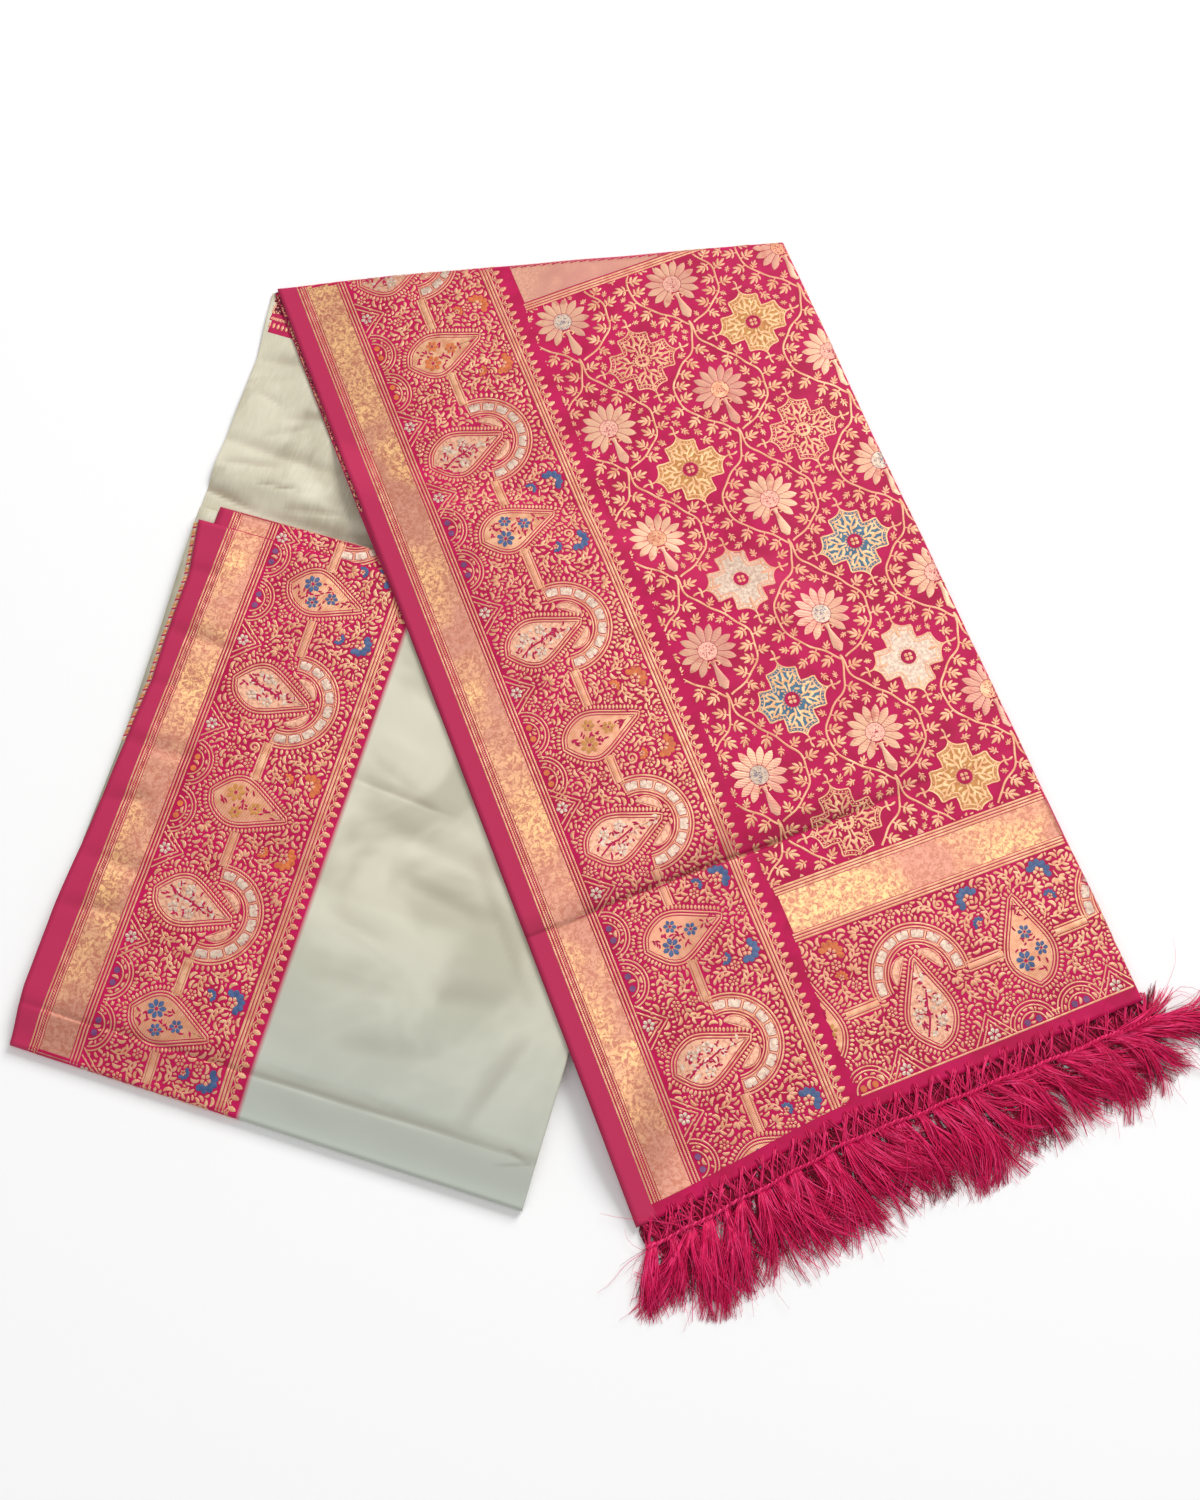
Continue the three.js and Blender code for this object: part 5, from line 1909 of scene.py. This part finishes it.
def pallu_side():
    """Side border of the end piece, from its hem to the slanting fold."""
    def inside(points):
        return on_pallu(points) & (points[:, 0] < SIDE_END)

    def place(points):
        return np.asarray(points, float) + (PALLU_BORDER_AT, 0)

    cloth = Brocade(pallu_surface, inside, PALLU_CREASES, hem_edge)
    rng = np.random.default_rng(21)

    rows = [
        (-6, "blue"), (112, "silver"), (233, "blue"), (351, "silver"), (460, "gold"), (580, "silver"),
        (708, "blue"), (820, "silver"), (941, "orange"), (1060, "silver"),
    ]
    border(cloth, place, rows, -20, 1120, rng)
    side_lines(cloth, place, -2, 1112, PALLU_PRESSED)
    fill_ground(
        cloth, np.array([-20.0, -30.0]), (280, 1160),
        lambda u, v: between(u, PALLU_GROUND) & (v > 1) & (past_top(u, v) < 16), rng, 21000,
    )
    return cloth.pieces("pallu_side", THREADS)


def pallu_end():
    """Border and cross band by the hem: the side border's motifs turned a quarter."""
    cloth = Brocade(pallu_surface, past_side, PALLU_CREASES, hem_edge)
    rng = np.random.default_rng(22)

    def place(points):
        points = np.asarray(points, float)
        return np.stack([points[..., 1], points[..., 0] * 1.1 + 22], axis=-1)

    rows = [(238, "gold"), (352, "silver"), (469, "blue"), (582, "silver")]
    border(cloth, place, rows, 200, 640, rng)
    cross_lines(cloth, lambda u: 0 * u + 21.6, FIELD_START, BAND_END, (0.6,), 0.9)
    offsets = (-0.8, -4.0, -7.2, -52.0, -55.2, -58.4)
    cross_lines(cloth, band_edge, FIELD_START - 1, BAND_END, offsets)
    low, high = (lambda u: band_edge(u) - 50.2), (lambda u: band_edge(u) - 9.0)
    cross_band(cloth, low, high, FIELD_START, BAND_END, 9)
    fill_ground(
        cloth, np.array([220.0, -30.0]), (390, 260),
        lambda u, v: between(u, (251, 565)) & between(v, (23.5, band_edge(u) - 60.5)), rng, 9500,
    )
    return cloth.pieces("pallu_end", THREADS)


def pallu_field():
    """Open field, and the lines and the band in painted sheen that show by the slanting fold."""
    def inside(points):
        u, v = points[:, 0], points[:, 1]
        return past_side(points) & between(v, (band_edge(u) + 1, FIELD_TOP))

    cloth = Brocade(pallu_surface, inside, PALLU_CREASES)
    field(cloth, np.random.default_rng(23))
    made = cloth.pieces("pallu_field", THREADS)
    top = Brocade(pallu_surface, past_side)
    cross_lines(top, lambda u: 0 * u + 958.5, 248, 560, (0, 3.2, 6.4))
    cross_band(top, lambda u: 0 * u + 967.5, lambda u: 0 * u + 1045, 249, 560, 27, "painted_sheen_band")
    return made + top.pieces("pallu_top", THREADS)


def packet_place(points):
    """A border's own places on the packet: narrowed a little, and turned end for end."""
    return np.asarray(points, float) * (0.99, -1) + (PACKET_BORDER_AT, 0)


def packet_brocade():
    """Side border of the packet's top stretch."""
    def inside(points):
        u, v = points[:, 0], points[:, 1]
        return between(u, (read(FACE_SELVAGE, v) + 1, 236)) & (v > -6.5)

    cloth = Brocade(face_surface, inside, FACE_CREASES, packet_edge)
    rng = np.random.default_rng(24)
    rows = [
        (-660, "silver"), (-541, "blue"), (-421, "silver"), (-301, "gold"), (-186, "silver"),
        (-69, "blue"), (50, "silver"),
    ]
    border(cloth, packet_place, rows, -700, 20, rng)
    side_lines(cloth, packet_place, -584, 8, PACKET_PRESSED)
    fill_ground(
        cloth, np.array([-30.0, -30.0]), (290, 640),
        lambda u, v: between(u, PACKET_GROUND) & between(v, (-6, 584)), rng, 12000,
    )
    return cloth.pieces("packet", THREADS)


def second_brocade():
    """What looks out of the second stretch's border above the top one."""
    def inside(points):
        return (points[:, 0] > 1.5) & between(points[:, 1], (576, 611))

    cloth = Brocade(second_surface, inside)
    side_lines(cloth, packet_place, -614, -560)
    cloth.strips("rose", [(2, 606.4), (120, 606.4), (228, 606.4)], 0.9, 0.3)
    peak(cloth, packet_place, -590)
    arch(cloth, packet_place, (78.0, -632.0))
    bar(cloth, packet_place, 71.0, -616, -570)
    fill_ground(
        cloth, np.array([-30.0, 540.0]), (290, 100),
        lambda u, v: between(u, PACKET_GROUND) & between(v, (576, 610.5)),
        np.random.default_rng(25), 1400,
    )
    return cloth.pieces("second", THREADS)


def specks(cloth, thread, low, high, count, rng, length=2.2, lift=0.25):
    """Short stitches strewn over a stretch of cloth."""
    spots = rng.uniform(low, high, (count, 2))
    lines, halves = leaves(spots, rng.uniform(0, 2 * np.pi, count), length, length * 0.55, 0.3, 4)
    cloth.strips(thread, lines, halves, lift)


def back_brocade():
    """Start of the next end piece, which shows as a sliver above the plain cream."""
    def inside(points):
        u, v = points[:, 0], points[:, 1]
        return (u > read(BODY_EDGE, v) + 1.5) & between(v, (823, back_top(u) - 1.5))

    cloth = Brocade(back_flat, inside)
    rng = np.random.default_rng(26)
    u, v = np.meshgrid(spread(*SLIVER, 3), spread(823, 880, 3))
    points = np.stack([u, v], axis=-1)
    cloth.gather("ground", points.reshape(-1, 2), np.full(u.size, 0.1), grid_faces(*u.shape))
    # Painted shade: darker magenta over the upper part of the sliver, by the slanting fold
    dark = np.stack([u, v * 0.5 + 425.5], axis=-1)
    cloth.gather("shaded_magenta", dark.reshape(-1, 2) + (0, 14), np.full(u.size, 0.16), grid_faces(*u.shape))
    specks(cloth, "gold", (SLIVER[0], 850), (SLIVER[1], 880), 260, rng, 2.6)
    across = spread(*SLIVER, 2)
    for phase in (0, math.pi):
        twist = np.stack([across, 844 + 1.6 * np.sin(across * 0.9 + phase)], axis=-1)
        cloth.strips("gold", twist, 0.8, 0.2)
    cloth.strips("gold", [(u, 839.5) for u in SLIVER], 0.6, 0.2)
    teeth = np.stack([np.arange(-42.0, 30, 5), np.full(15, 838.5)], axis=-1)
    cloth.strips("gold", *leaves(teeth, -np.pi / 2, 6.5, 3.2, 0.2, 5), 0.2)
    # Painted shade: a dark line along the sliver's lower edge
    cloth.strips("shaded_magenta", [(u, 824.2) for u in SLIVER], 0.7, 0.2)
    return cloth.pieces("back", THREADS)


def under_brocade():
    """Speckled edge of the lower half, just outside the selvage of the upper one."""
    cloth = Brocade(under_half_surface, lambda points: points[:, 0] > -3.4)
    rng = np.random.default_rng(27)
    # Painted shade: dark specks where the upper half shades the lower half's edge
    for thread, count in (("shaded_magenta", 520), ("gold", 420), ("ground", 160)):
        specks(cloth, thread, (-3.2, 790), (0.5, 1084), count, rng, 2.4, 0.15)
    return cloth.pieces("under_half", THREADS)


def pile_surface(u, v, lift):
    """Top of the hidden folds, by the packet's axes."""
    x, y = to_floor(PACKET_FRAME, u, v + packet_skew(u, v))
    return np.stack([x, y, pile_top(v) + lift], axis=-1)


def pile_brocade():
    """Edge of a folded border between the selvage and the cream: a rope of coloured stitches."""
    cloth = Brocade(pile_surface, lambda points: points[:, 0] < 0)
    v = np.arange(330.0, 580, 2.1)
    middle = read(FACE_SELVAGE, v) - 3.4
    order = np.arange(len(v))
    for k, thread in enumerate(("gold", "pale", "ground", "gold", "yellow")):
        own = order % 5 == k
        start = np.stack([middle[own] - 2.2, v[own] - 1.4], axis=-1)
        cloth.strips(thread, *leaves(start, 0.55, 5.2, 2.1, 0.3, 5), 0.3, 0.6)
    return cloth.pieces("pile", THREADS)


# Stage

def stage():
    """Pale floor, one wide soft light from behind on the right, and weaker ones for the rest."""
    bpy.ops.mesh.primitive_plane_add(size=14, location=(0, 0, -0.0004))
    floor = bpy.context.object
    floor.name = "floor"
    floor.data.materials.append(new_material("pale_floor", MATT)[0])
    for name, place, size, power in LIGHTS:
        lamp = bpy.data.lights.new(name, "AREA")
        lamp.size = size
        lamp.energy = power
        light = bpy.data.objects.new(name, lamp)
        light.location = place
        aim = -light.location
        light.rotation_euler = aim.to_track_quat("-Z", "Y").to_euler()
        bpy.context.scene.collection.objects.link(light)
    world = bpy.data.worlds.new("studio")
    world.use_nodes = True
    background = world.node_tree.nodes["Background"]
    feed(world.node_tree, background, {"Color": (1, 1, 1, 1), "Strength": STUDIO})
    bpy.context.scene.world = world
    bpy.context.scene.view_settings.view_transform = "Standard"


def camera():
    """Camera above the near edge, tilted up from straight down."""
    data = bpy.data.cameras.new("camera")
    data.lens = CAMERA_LENS
    data.sensor_width = SENSOR
    seen_from = bpy.data.objects.new("camera", data)
    seen_from.location = CAMERA_PLACE
    seen_from.rotation_euler = (math.radians(CAMERA_TILT), 0, 0)
    bpy.context.scene.collection.objects.link(seen_from)
    bpy.context.scene.camera = seen_from


camera()
stage()

back = back_cloth()
folds = folds_cloth()
second = second_cloth()
face = face_cloth()
under_half = under_half_cloth()
pallu = pallu_cloth()
pallu_woven = pallu_side() + pallu_end() + pallu_field()
face_woven = packet_brocade()
second_woven = second_brocade()
back_woven = back_brocade()
under_woven = under_brocade()
pile_woven = pile_brocade()

tassels = strand_piece("tassels", tassel_strands(11, 130, FRINGE_LEVEL, 1.0, 7.0, 0.8), 3, TASSEL_FLOSS)
under_tassels = strand_piece(
    "under_tassels", tassel_strands(12, 40, UNDER_FRINGE_LEVEL, 0.85, 0.6, 0.75), 3, SHADED_FLOSS,
)
net = strand_piece("fringe_net", net_strands(13, FRINGE_LEVEL, 5), 3, NET_FLOSS)
web = strand_piece("fringe_web", web_strands(15, FRINGE_LEVEL - 1.2, 700), 3, SHADED_FLOSS)
wisps = strand_piece("fringe_wisps", web_strands(16, FRINGE_LEVEL + 1.4, 240), 3, NET_FLOSS)
under_net = strand_piece("under_net", web_strands(14, UNDER_FRINGE_LEVEL, 1000), 3, SHADED_FLOSS)
cord = strand_piece("fringe_cord", cord_strands(FRINGE_LEVEL + 1.6, 1.15, 0.8), 6, NET_FLOSS)

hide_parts("body_back")
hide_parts("body_folds")
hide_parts("body_second")
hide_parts("body_face")
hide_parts("pallu_under_half")
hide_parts("pallu_face")
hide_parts("fringe_face")
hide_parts("fringe_under")
